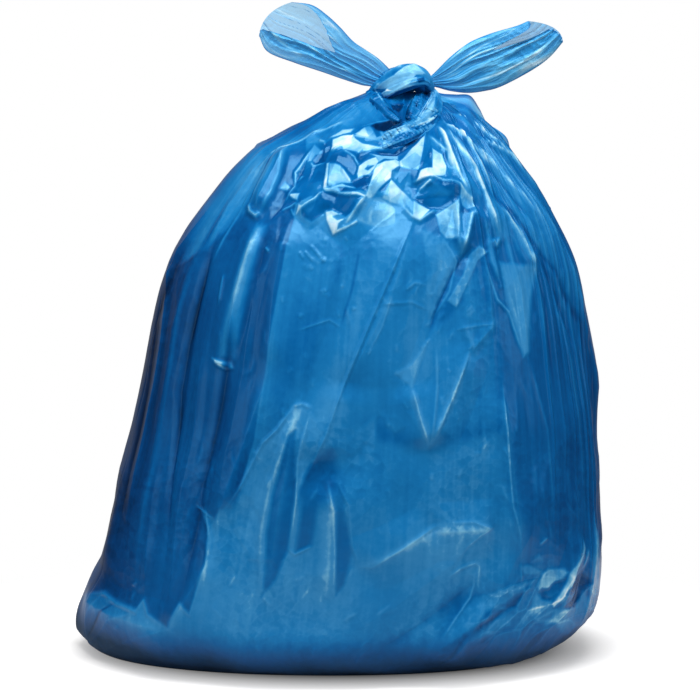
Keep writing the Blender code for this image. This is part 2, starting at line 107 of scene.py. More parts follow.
def placed(name, data):
    # an object in the scene that holds this mesh, curve, lamp or camera
    made = bpy.data.objects.new(name, data)
    bpy.context.scene.collection.objects.link(made)
    return made


def filmPiece(name, layers, closed=False, faceUp=None):
    # one piece from grids of points with the fields of their film. A closed one goes all round and has a pole
    # above and one below
    places, faces, stored = [], [], {}
    for points, fields in layers:
        rows, columns = points.shape[:2]
        index = np.arange(rows * columns).reshape(rows, columns) + len(places)
        left, right = (index, np.roll(index, -1, axis=1)) if closed else (index[:, :-1], index[:, 1:])
        faces += np.stack([left[:-1], right[:-1], right[1:], left[1:]], axis=-1).reshape(-1, 4).tolist()
        places += points.reshape(-1, 3).tolist()
        for field, values in fields.items():
            stored.setdefault(field, []).extend(values.reshape(-1).tolist())
    if closed:
        faces += [(a, b, len(places)) for a, b in zip(left[-1].tolist(), right[-1].tolist())]
        faces += [(b, a, len(places) + 1) for a, b in zip(left[0].tolist(), right[0].tolist())]
        places += [points[-1].mean(axis=0).tolist(), points[0].mean(axis=0).tolist()]
    mesh = bpy.data.meshes.new(name)
    mesh.from_pydata(places, [], faces)
    for field, values in stored.items():
        values += [0.0] * (len(places) - len(values))
        mesh.attributes.new(field, "FLOAT", "POINT").data.foreach_set("value", values)
    mesh.shade_smooth()
    if faceUp is not None:
        mesh.normals_split_custom_set_from_vertices(faceUp.reshape(-1, 3).tolist())
    report(name, "has", len(faces), "faces")
    return placed(name, mesh)


# Camera frame

tilt = math.radians(photo["elevation"])
sight = np.array([0.0, math.cos(tilt), -math.sin(tilt)])
upright = np.array([0.0, math.sin(tilt), math.cos(tilt)])
aim = np.array([photo["aimX"], 0.0, photo["aimZ"]])
eye = aim - sight * photo["distance"]
pixelsPerSlope = photo["size"] / photo["metresAcross"] * photo["distance"]


def seenAt(points):
    # where points of the bag lie in the picture, in pixels
    offset = points - eye
    depth = offset @ sight
    across = photo["size"] / 2 + pixelsPerSlope * offset[..., 0] / depth
    down = photo["size"] / 2 - pixelsPerSlope * (offset @ upright) / depth
    return across, down


def fromPicture(across, down, forward):
    # the points seen at these pixels that lie this far in front of the bag's middle, in metres
    across, down, forward = (np.asarray(value, float)[..., None] for value in (across, down, forward))
    ray = sight + np.array([1.0, 0, 0]) * (across - photo["size"] / 2) / pixelsPerSlope
    ray = ray + upright * (photo["size"] / 2 - down) / pixelsPerSlope
    return eye + ray * ((-forward - eye[1]) / ray[..., 1:2])


def curveThrough(points, steps):
    # a smooth curve through these points, in this many steps from each to the next, and how far along it each
    # step lies
    slopes = np.gradient(points, axis=0)
    fine = []
    for i in range(len(points) - 1):
        for t in np.linspace(0.0, 1.0, steps, endpoint=False):
            fine.append(
                (2 * t**3 - 3 * t**2 + 1) * points[i] + (t**3 - 2 * t**2 + t) * slopes[i]
                + (3 * t**2 - 2 * t**3) * points[i + 1] + (t**3 - t**2) * slopes[i + 1])
    fine = np.array(fine + [points[-1]])
    run = np.concatenate([[0.0], np.cumsum(np.hypot(np.diff(fine[:, 0]), np.diff(fine[:, 1])))])
    return fine, run


def readCurve(places, fine, run):
    return np.stack([np.interp(places, run, column) for column in fine.T], axis=1)


def smoothPath(points, count):
    # a smooth line through given points, read at even steps of its length
    fine, run = curveThrough(np.array(points, float), 24)
    return readCurve(np.linspace(0.0, run[-1], count), fine, run)


# The bag's wall: rings from the floor up, each (height, width, shift to the right, depth), in metres
bag = dict(
    place=(0.0111, 0.0),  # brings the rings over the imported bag
    square=2.25,
    underside=0.82,
    foot=(0.000, 0.436, -0.016, 0.230),
    hem=(0.028, 0.496, -0.007, 0.352),
    belly=(0.088, 0.505, 0.002, 0.384),
    waist=(0.253, 0.458, 0.016, 0.386),
    chest=(0.368, 0.412, 0.022, 0.348),
    shoulder=(0.440, 0.348, 0.025, 0.296),
    collar=(0.498, 0.258, 0.031, 0.212),
    neck=(0.533, 0.164, 0.045, 0.122),
    tie=(0.558, 0.066, 0.051, 0.050),
    leftCorner=(0.016, 0.025, 0.120, 0.075),  # its height, how far it is drawn out, its spread back and up
    rightCorner=(0.000, -0.030, 0.150, 0.048),
)


def ringOf(level, turns):
    height, halfWidth, shift, halfDepth = level
    power = 2.0 / bag["square"]
    sine, cosine = np.sin(turns), np.cos(turns)
    return np.stack([
        shift + halfWidth * np.sign(sine) * np.abs(sine) ** power,
        -halfDepth * np.sign(cosine) * np.abs(cosine) ** power,
        np.full_like(turns, height)], axis=1)


def wallLevels():
    # the rings with half widths and half depths, and one more inside the foot
    names = ("foot", "hem", "belly", "waist", "chest", "shoulder", "collar", "neck", "tie")
    rings = [bag[name] for name in names]
    under = (0.0, rings[0][1] * bag["underside"], rings[0][2], rings[0][3] * bag["underside"])
    return np.array([(z, wide / 2, shift, deep / 2) for z, wide, shift, deep in [under, *rings]])


def turnsRound(shares):
    # turns round the bag, even along the belly's length; a share of 0.5 is the front
    dense = np.linspace(-math.pi, math.pi, 4001)
    belly = ringOf((0.0, bag["belly"][1] / 2, 0.0, bag["belly"][3] / 2), dense)
    run = np.concatenate([[0.0], np.cumsum(np.linalg.norm(np.diff(belly, axis=0), axis=1))])
    return np.interp(shares * run[-1], run, dense)


def wallAt(turns, shares):
    # the bag's wall without folds, and how far each of its rows is from the tie along the film
    fine, run = curveThrough(wallLevels(), 40)
    wall = np.array([ringOf(level, turns) for level in readCurve(shares * run[-1], fine, run)])
    wall[..., 2] = np.maximum(wall[..., 2], 0.0)
    for side, name in ((-1, "leftCorner"), (1, "rightCorner")):
        height, reach, back, tall = bag[name]
        near = np.clip(1 - np.abs(wall[..., 2] - height) / tall, 0, 1)
        near *= np.clip(1 - np.abs(wall[..., 1]) / back, 0, 1)
        wall[..., 0] += side * reach * near * (side * wall[..., 0] > 0)
    wall[..., :2] += bag["place"]
    return wall, (1 - shares) * run[-1]


def facingOut(wall, closed):
    around = np.roll(wall, -1, axis=1) - np.roll(wall, 1, axis=1) if closed else np.gradient(wall, axis=1)
    normal = np.cross(around, np.gradient(wall, axis=0))
    return normal / np.maximum(np.linalg.norm(normal, axis=2, keepdims=True), 1e-9)


def fromLine(across, down, line):
    # distance in pixels from a broken line, and the share of the way along it
    best = np.full(across.shape, 1e6)
    share = np.zeros(across.shape)
    lengths = [math.dist(a, b) for a, b in zip(line, line[1:])]
    total, before = sum(lengths), 0.0
    for (ax, ay), (bx, by), length in zip(line, line[1:], lengths):
        t = ((across - ax) * (bx - ax) + (down - ay) * (by - ay)) / length**2
        clipped = np.clip(t, 0.0, 1.0)
        away = np.hypot(across - ax - clipped * (bx - ax), down - ay - clipped * (by - ay))
        share = np.where(away < best, (before + clipped * length) / total, share)
        best = np.minimum(away, best)
        before += length
    return best, share


def within(across, down, outline):
    # distance in pixels inside a closed outline, negative outside it
    away, _ = fromLine(across, down, [*outline, outline[0]])
    inside = np.zeros(across.shape, bool)
    for (ax, ay), (bx, by) in zip(outline, [*outline[1:], outline[0]]):
        crossing = (ay > down) != (by > down)
        if ay != by:
            inside ^= crossing & (across < ax + (down - ay) * (bx - ax) / (by - ay))
    return np.where(inside, away, -away)


# The front, in pixels of the picture. Areas of film that hang free look deep, and areas pressed on the load
# look pale; many smaller areas are painted highlights where folds catch the light, and painted shade in folds
# and hollows: each is (tone, millimetres it stands out, softness of its edge in pixels, outline), later ones
# on top.
filmAreas = dict(
    lowerLoad=(0.84, 0, 16, [
        (60, 700), (60, 560), (190, 540), (215, 505), (300, 500), (500, 500), (620, 560), (620, 700)]),
    leftShoulder=(0.92, 0, 12, [(205, 204), (262, 150), (282, 165), (209, 250), (176, 285)]),
    neckLeft=(0.74, 0, 7, [
        (373, 94), (330, 120), (268, 148), (262, 168), (300, 152), (350, 132), (378, 122)]),
    leftCurtain=(0.42, 1.0, 3, [
        (205, 252), (262, 200), (296, 210), (280, 295), (267, 371), (256, 438), (241, 487), (215, 518),
        (199, 501), (209, 528), (208, 561), (193, 612), (184, 601), (171, 625), (152, 612), (147, 598),
        (140, 609), (119, 601), (108, 592), (86, 594), (60, 560), (120, 300)]),
    leftBand=(0.46, 0.5, 6, [
        (226, 262), (250, 225), (262, 230), (228, 356), (205, 480), (186, 480), (205, 340)]),
    centrePanel=(0.79, 0.8, 1.2, [
        (296, 205), (420, 190), (413, 223), (380, 301), (343, 388), (317, 458), (302, 470), (262, 520),
        (241, 487), (256, 438), (267, 371), (280, 295)]),
    leftGlow=(0.9, 0, 6, [
        (258, 226), (267, 228), (258, 262), (243, 318), (234, 357), (222, 356), (232, 308), (246, 262)]),
    leftGlowTail=(1.16, 1, 1.5, [(213, 358), (222, 361), (232, 362), (233, 368), (226, 370), (219, 366)]),
    panelBright=(0.9, 0, 12, [
        (380, 225), (413, 223), (380, 301), (343, 388), (317, 458), (306, 452), (330, 380), (355, 300)]),
    panelDeep=(0.64, 0, 20, [(300, 300), (340, 300), (300, 400), (262, 450), (268, 380)]),
    panelBeside=(0.63, 0, 10, [
        (416, 226), (432, 240), (410, 300), (372, 392), (345, 440), (317, 458), (345, 388), (382, 301)]),
    archPale=(0.9, 0.8, 4, [
        (294, 406), (311, 407), (300, 440), (290, 480), (272, 560), (250, 560), (230, 520), (244, 484),
        (264, 443), (278, 430)]),
    archStrip=(0.5, -1, 3, [
        (287, 437), (297, 430), (296, 472), (295, 502), (289, 548), (276, 579), (262, 596), (266, 571),
        (268, 533), (274, 495), (282, 464)]),
    archRightPale=(0.9, 0.5, 3, [(311, 412), (322, 426), (316, 450), (301, 487), (297, 502), (299, 460)]),
    archNotch=(0.52, -0.8, 4, [
        (326, 447), (333, 445), (336, 480), (329, 482), (320, 495), (312, 545), (296, 552), (303, 500),
        (316, 462)]),
    spoutDark=(0.58, -0.8, 3, [(337, 487), (345, 504), (352, 552), (345, 583), (336, 596), (336, 533)]),
    veeGlow=(0.88, 0.6, 2.5, [
        (335, 441), (352, 439), (356, 434), (372, 418), (376, 416), (376, 447), (364, 443), (352, 457),
        (340, 448)]),
    cyanLens=(0.94, 0.6, 2, [(383, 416), (394, 415), (408, 425), (395, 432), (386, 424)]),
    paleFlake=(0.94, 0.6, 2, [(406, 412), (417, 412), (423, 437), (414, 424)]),
    paleFlakeTwo=(0.86, 0.4, 3, [(390, 380), (416, 380), (410, 390), (417, 412), (406, 400)]),
    scallop=(0.8, 0.2, 8, [
        (317, 458), (343, 400), (380, 440), (430, 448), (500, 430), (512, 520), (491, 528), (467, 518),
        (430, 527), (393, 557), (361, 568), (341, 494), (332, 447)]),
    rightInner=(0.76, 0, 20, [
        (413, 225), (470, 250), (500, 330), (505, 420), (430, 448), (345, 420), (380, 301)]),
    rightShoulder=(0.74, 0, 14, [
        (455, 160), (500, 150), (548, 215), (580, 290), (585, 350), (540, 330), (500, 250)]),
    rightWall=(0.52, 0, 24, [
        (500, 240), (556, 271), (600, 400), (606, 560), (520, 575), (505, 440), (500, 330)]),
    greyLoad=(0.82, 0, 18, [(380, 310), (425, 300), (440, 340), (410, 400), (355, 410)]),
    wedge=(0.88, 0.8, 3, [(498, 262), (535, 268), (530, 300), (529, 352), (523, 357), (508, 310)]),
    plainFold=(0.88, 0.4, 4, [
        (420, 232), (440, 238), (455, 262), (448, 290), (430, 318), (424, 300), (430, 270)]),
    plainFoldDeep=(0.6, -0.4, 5, [(455, 262), (470, 250), (462, 300), (440, 330), (436, 318), (450, 288)]),
    veePale=(0.93, 1, 2, [(428, 341), (412, 388), (395, 373), (412, 364)]),
    lobe=(0.9, 0.8, 5, [
        (440, 526), (454, 522), (472, 521), (484, 524), (489, 528), (478, 534), (468, 543), (459, 556),
        (449, 574), (430, 566), (425, 540)]),
    lowRight=(0.5, 0, 14, [(450, 600), (500, 580), (600, 560), (600, 640), (520, 675), (430, 680)]),
    spearPale=(0.74, 0.6, 2, [
        (476, 598), (492, 593), (509, 585), (535, 580), (523, 588), (504, 603), (484, 611), (469, 626),
        (454, 638), (438, 650), (440, 641), (463, 611)]),
    spearDark=(0.28, -1.2, 2.5, [
        (463, 633), (479, 622), (504, 608), (514, 599), (523, 592), (516, 606), (504, 613), (484, 624),
        (463, 638), (447, 658), (440, 664), (452, 648)]),
    lowPale=(0.66, 0.5, 3, [
        (466, 639), (488, 624), (504, 615), (514, 615), (509, 624), (489, 634), (474, 640)]),
    lowPaleTwo=(0.52, 0.5, 3, [
        (469, 650), (495, 638), (509, 633), (520, 634), (504, 647), (494, 661), (480, 658)]),
    cornerFlake=(0.82, 0.6, 1.5, [(520, 567), (527, 564), (541, 571), (539, 574), (525, 574)]),
    cornerFlakeTwo=(0.74, 0.5, 2, [(532, 561), (538, 554), (543, 559)]),
    cornerPale=(0.95, 1.2, 1.5, [
        (543, 574), (548, 569), (557, 569), (564, 569), (566, 572), (562, 578), (552, 585), (549, 590),
        (543, 588), (539, 591), (538, 587)]),
    cornerStrip=(0.8, 0.6, 3, [
        (536, 591), (541, 599), (550, 602), (540, 613), (530, 615), (523, 623), (525, 617), (532, 606)]),
    cornerDark=(0.4, -1.2, 1.2, [
        (542, 590), (550, 588), (556, 581), (564, 580), (561, 588), (556, 595), (549, 601), (542, 599)]),
    cornerLow=(0.84, 0.8, 2.5, [
        (584, 591), (588, 599), (589, 612), (584, 626), (572, 636), (562, 634), (555, 622), (547, 625),
        (555, 612), (566, 608), (576, 607)]),
    cornerBlack=(0.34, -1.5, 1.2, [
        (582, 572), (589, 578), (588, 583), (582, 591), (581, 599), (576, 607), (565, 608), (558, 609),
        (553, 608), (560, 602), (570, 591), (576, 578)]),
    cornerBlade=(1.0, 1.6, 1.0, [
        (582, 540), (584, 548), (580, 560), (574, 571), (573, 580), (565, 590), (559, 599), (553, 607),
        (551, 604), (557, 595), (564, 583), (567, 572), (573, 564), (578, 555)]),
    cornerEdge=(0.93, 1.2, 1.5, [
        (594, 512), (595, 526), (598, 538), (601, 557), (600, 575), (597, 592), (594, 610), (588, 612),
        (588, 598), (590, 583), (590, 564), (591, 548), (593, 529)]),
    leftTip=(0.84, 0.8, 5, [(86, 594), (108, 592), (119, 601), (140, 609), (160, 640), (84, 648), (76, 625)]),
)

# Crests and creases of the front: millimetres out (or in, if negative), half width in pixels, tone, and path
# pale tones along crests are painted highlights, deep tones along creases are painted shade
filmFolds = dict(
    leftTube=(4.0, 11, 0.62, [(290, 150), (276, 176), (257, 212)]),
    leftTubeBack=(-2.5, 6, 0.2, [(306, 160), (290, 190), (270, 222)]),
    leftStreak=(3.0, 13, 0.98, [(262, 225), (255, 251), (244, 287), (228, 356)]),
    leftStreakShade=(-2.0, 12, 0.36, [(268, 235), (258, 290), (243, 350)]),
    leftTail=(2.0, 5, 1.1, [(215, 361), (224, 365), (231, 368)]),
    leftNotch=(1.5, 4, 0.85, [(226, 275), (221, 306)]),
    leftCrease=(-2.0, 6, 0.24, [(222, 230), (213, 251), (188, 345), (179, 390), (173, 460), (168, 560)]),
    leftCrest=(2.0, 12, 0.46, [(238, 185), (205, 250), (176, 330), (158, 430), (140, 560)]),
    edgeCrest=(2.0, 5, 0.62, [(215, 200), (173, 264), (163, 333), (154, 381), (146, 419), (128, 520)]),
    edgeCrease=(-1.5, 8, 0.24, [(190, 240), (158, 320), (144, 400), (118, 540)]),
    curtainCrest=(2.2, 14, 0.46, [(262, 260), (246, 360), (228, 450), (216, 516)]),
    curtainCrease=(-2.0, 12, 0.22, [(240, 300), (222, 400), (204, 480), (186, 600)]),
    hangLeft=(2.0, 9, 0.44, [(205, 330), (192, 430), (178, 520), (171, 622)]),
    hangLow=(1.5, 7, 0.4, [(160, 460), (150, 540), (147, 600)]),
    shoulderPleat=(2.0, 6, 0.9, [(262, 160), (230, 206), (210, 250)]),
    panelHighlight=(1.2, 18, 0.66, [(345, 250), (320, 330), (295, 400)]),
    smallHook=(0.8, 4, 0.92, [(404, 292), (414, 284), (424, 285)]),
    thinLine=(0.6, 3, 0.86, [(380, 306), (411, 303), (428, 310)]),
    slantedShade=(-2.5, 8, 0.4, [(470, 246), (452, 275), (438, 306), (428, 338)]),
    mouthTwo=(2.0, 6, 0.85, [(480, 215), (490, 250), (499, 287)]),
    mouthThree=(1.5, 6, 0.9, [(500, 225), (520, 290), (527, 358)]),
    veeLeft=(1.2, 4, 0.92, [(412, 388), (420, 420), (428, 445)]),
    veeMiddle=(1.2, 4, 0.94, [(437, 349), (437, 385), (430, 443)]),
    veeRight=(1.2, 4, 0.9, [(469, 351), (452, 397), (431, 444)]),
    veePoint=(1.5, 8, 0.85, [(460, 319), (473, 349), (495, 323)]),
    panelEdge=(1.6, 3.5, 0.86, [(413, 223), (380, 301), (343, 388), (326, 437), (301, 487)]),
    archOuter=(1.2, 3.5, 0.92, [(294, 408), (278, 430), (264, 443), (255, 460), (244, 483), (230, 504)]),
    archLeft=(2.0, 7, 1.02, [
        (303, 408), (289, 434), (282, 457), (272, 483), (266, 510), (262, 533), (261, 562), (263, 590)]),
    archRight=(1.6, 4, 1.02, [(311, 411), (299, 460), (297, 502), (293, 529), (289, 548)]),
    archRim=(1.0, 3, 0.96, [(289, 548), (295, 554), (312, 546)]),
    archCap=(1.2, 4, 0.98, [(294, 406), (303, 404), (311, 408)]),
    spoutCrest=(1.6, 4.5, 1.0, [(328, 480), (334, 510), (335, 552), (334, 596)]),
    spoutRight=(1.0, 3.5, 0.88, [(337, 479), (349, 504), (352, 544), (360, 567)]),
    scallopRim=(1.0, 3.5, 0.9, [(360, 567), (372, 567), (398, 550), (433, 527), (446, 522)]),
    lobeRim=(0.8, 3, 0.98, [(446, 522), (472, 521), (489, 528), (478, 535), (466, 546), (458, 558)]),
    lowVee=(1.2, 3.5, 1.0, [(447, 578), (461, 568), (475, 563), (479, 566), (478, 583), (480, 593)]),
    lowVeeTwo=(1.0, 3.5, 0.96, [(474, 568), (474, 587), (471, 598), (452, 624), (440, 641)]),
    lineRight=(1.0, 3, 0.95, [(502, 380), (503, 418), (507, 472), (510, 506), (517, 533), (520, 556)]),
    lineLow=(0.8, 3, 0.86, [(520, 563), (521, 583)]),
    cornerTick=(0.8, 3, 1.0, [(539, 544), (546, 537)]),
    cornerNotch=(0.8, 3, 1.0, [(587, 548), (585, 560), (582, 570)]),
    bottomLine=(1.0, 4, 0.7, [(496, 660), (515, 661), (540, 654), (555, 640), (566, 630)]),
    hemLeft=(1.0, 4, 0.92, [
        (88, 596), (108, 594), (119, 603), (140, 611), (147, 600), (152, 614), (171, 627)]),
    hemLeftTwo=(1.0, 4, 0.88, [(171, 627), (184, 603), (193, 614), (209, 563), (209, 528), (199, 502)]),
    tipOne=(0.8, 4, 1.0, [(82, 640), (92, 612), (106, 594)]),
    tipTwo=(0.8, 4, 0.96, [(88, 646), (112, 620), (140, 611)]),
    tipThree=(0.8, 4, 0.94, [(100, 652), (140, 636), (172, 628)]),
    tipShade=(-0.8, 4, 0.45, [(86, 640), (104, 612), (118, 603)]),
    spikeOne=(0.8, 4, 0.98, [(205, 506), (211, 540), (206, 590)]),
    spikeTwo=(0.6, 3, 0.94, [(196, 505), (208, 515), (215, 519)]),
    midOne=(0.6, 4, 0.9, [(345, 300), (352, 330), (348, 372)]),
    midTwo=(0.5, 3, 0.92, [(392, 296), (381, 330), (370, 350)]),
    midThree=(0.5, 3, 0.9, [(300, 330), (330, 320), (345, 330)]),
    midDeep=(-0.5, 5, 0.58, [(360, 250), (352, 290), (340, 330)]),
    rightOne=(0.8, 4, 0.98, [(483, 262), (496, 300), (508, 312), (523, 357)]),
    rightTwo=(0.6, 4, 0.9, [(440, 236), (456, 262), (449, 292), (432, 320)]),
    rightThree=(0.6, 3, 0.92, [(455, 330), (476, 326), (495, 324)]),
    sideOne=(0.6, 4, 0.74, [(560, 300), (572, 360), (580, 450), (584, 530)]),
    sideTwo=(0.6, 4, 0.72, [(530, 360), (545, 430), (552, 520)]),
    darkOne=(-1.0, 5, 0.36, [(489, 187), (556, 271), (580, 323), (590, 386)]),
    darkTwo=(-1.0, 5, 0.38, [(474, 178), (520, 232), (545, 300), (556, 400)]),
)

# The crushed film under the knot: its larger facets, as (tone, millimetres out, outline)
# pale tones are painted highlights of facets that catch the light, deep ones painted shade
crushedFacets = [
    (0.4, -1.0, [
        (290, 147), (306, 138), (306, 152), (300, 165), (294, 181), (286, 189), (279, 202), (272, 207),
        (277, 190), (286, 169)]),
    (0.46, -1.0, [
        (315, 145), (323, 151), (325, 163), (325, 192), (315, 198), (301, 205), (297, 203), (300, 194),
        (293, 186), (295, 172)]),
    (1.12, 1.5, [(295, 172), (303, 175), (295, 181)]),
    (1.12, 1.5, [(287, 193), (300, 193), (298, 202), (292, 198)]),
    (1.0, 1.0, [(285, 181), (290, 186), (287, 190), (280, 189)]),
    (0.38, -1.0, [(286, 195), (297, 202), (281, 210), (280, 206)]),
    (0.95, 1.0, [(314, 144), (319, 148), (323, 152), (315, 154), (311, 160), (307, 161)]),
    (0.22, -2.5, [(323, 151), (332, 147), (326, 160), (325, 163), (312, 163)]),
    (1.08, 1.5, [(333, 141), (344, 138), (354, 137), (351, 144), (342, 147), (331, 151)]),
    (0.96, 0.5, [
        (354, 138), (362, 145), (364, 150), (359, 155), (350, 152), (343, 151), (342, 147), (351, 144)]),
    (0.36, -2.0, [
        (331, 152), (343, 151), (355, 160), (358, 168), (357, 172), (354, 180), (348, 174), (341, 167),
        (333, 164), (326, 163)]),
    (1.15, 2.0, [(327, 165), (330, 165), (329, 181), (328, 192), (324, 192)]),
    (1.02, 0.5, [(330, 166), (341, 168), (348, 177), (352, 186), (342, 187), (333, 191), (329, 190)]),
    (1.16, 2.5, [
        (324, 192), (333, 191), (343, 187), (354, 192), (357, 194), (350, 194), (340, 195), (366, 201),
        (365, 203), (350, 201), (334, 196), (326, 195)]),
    (0.36, -1.5, [(339, 192), (345, 191), (354, 194), (342, 195)]),
    (0.24, -3.0, [(352, 186), (358, 181), (363, 179), (370, 181), (370, 188), (361, 192), (357, 194)]),
    (1.12, 1.5, [
        (359, 168), (365, 164), (376, 160), (379, 166), (374, 174), (369, 179), (363, 179), (358, 181),
        (357, 176)]),
    (0.55, -1.0, [(365, 172), (368, 169), (374, 170), (368, 174)]),
    (0.86, 1.0, [(354, 138), (365, 129), (371, 127), (382, 129), (388, 147), (377, 142), (366, 141)]),
    (1.04, 1.0, [(355, 136), (365, 129), (369, 140)]),
    (0.34, -1.5, [(371, 129), (379, 130), (381, 136), (377, 138)]),
    (0.44, -1.0, [(355, 139), (371, 142), (388, 148), (375, 146), (361, 143)]),
    (0.94, 0.5, [(361, 145), (388, 148), (377, 151), (363, 153)]),
    (0.28, -2.5, [
        (359, 155), (370, 152), (398, 149), (398, 155), (370, 155), (369, 159), (361, 164), (356, 161)]),
    (0.97, 0.5, [(370, 155), (382, 158), (398, 155), (398, 162), (384, 163), (379, 167), (376, 160)]),
    (1.1, 1.5, [
        (377, 169), (395, 162), (399, 164), (399, 169), (392, 174), (391, 181), (382, 190), (370, 204),
        (366, 201), (368, 194), (370, 188), (374, 174)]),
    (0.98, 0.0, [(368, 202), (380, 200), (395, 210), (395, 226), (377, 230), (359, 224), (357, 222)]),
    (1.18, 2.5, [
        (326, 213), (333, 212), (340, 216), (333, 218), (338, 223), (345, 222), (339, 227), (338, 232),
        (350, 228), (357, 223), (358, 225), (346, 232), (333, 236), (330, 229), (327, 221)]),
    (0.44, -1.5, [
        (316, 200), (324, 195), (334, 196), (350, 201), (364, 203), (355, 215), (346, 220), (340, 215),
        (333, 211), (326, 212), (319, 218), (312, 223), (303, 218), (303, 210)]),
    (1.15, 1.5, [(300, 206), (304, 210), (297, 216)]),
    (0.6, 0.0, [(315, 134), (340, 127), (353, 130), (344, 132), (330, 141), (323, 139)]),
    (1.02, 1.0, [(330, 139), (343, 132), (355, 131), (351, 135), (334, 139)]),
    (0.86, 0.5, [(307, 141), (314, 135), (320, 139), (326, 144), (318, 143), (308, 143)]),
    (0.3, -1.5, [(326, 144), (332, 140), (332, 147), (323, 147)]),
    (0.3, -1.0, [(280, 207), (291, 209), (295, 218), (290, 245), (280, 245)]),
    (1.05, 1.0, [(399, 164), (421, 139), (425, 136), (424, 146), (418, 174), (408, 172), (399, 169)]),
    (0.48, -1.5, [(425, 137), (429, 136), (431, 164), (421, 174), (422, 158)]),
    (1.15, 1.5, [
        (431, 151), (440, 158), (445, 171), (444, 180), (432, 182), (416, 184), (419, 175), (431, 171)]),
    (0.6, -0.5, [(429, 137), (439, 146), (445, 157), (440, 158), (431, 151)]),
    (0.68, -0.5, [(446, 158), (455, 182), (456, 188), (435, 184), (444, 179)]),
    (0.48, -1.5, [(412, 186), (430, 185), (418, 192), (413, 199), (411, 198)]),
    (0.52, -1.0, [(413, 200), (422, 192), (433, 188), (457, 199), (435, 200)]),
    (0.34, -2.0, [(413, 200), (435, 198), (457, 199), (446, 206), (435, 211), (430, 211), (422, 206)]),
    (1.15, 1.5, [(413, 202), (430, 211), (419, 222), (412, 219)]),
    (1.04, 1.0, [(435, 216), (457, 202), (456, 241), (445, 240), (439, 233), (437, 224)]),
    (0.74, -1.0, [(457, 215), (468, 216), (461, 248), (457, 236)]),
    (1.02, 1.0, [(457, 189), (469, 202), (472, 211), (465, 212), (460, 208), (458, 200)]),
    (0.66, -1.0, [(392, 174), (410, 174), (412, 200), (402, 192), (391, 180)]),
    (1.0, 0.5, [(391, 182), (412, 202), (412, 218), (402, 208), (382, 201)]),
    (0.98, 1.5, [(477, 247), (486, 253), (476, 262), (456, 308), (447, 301), (462, 275), (468, 256)]),
]
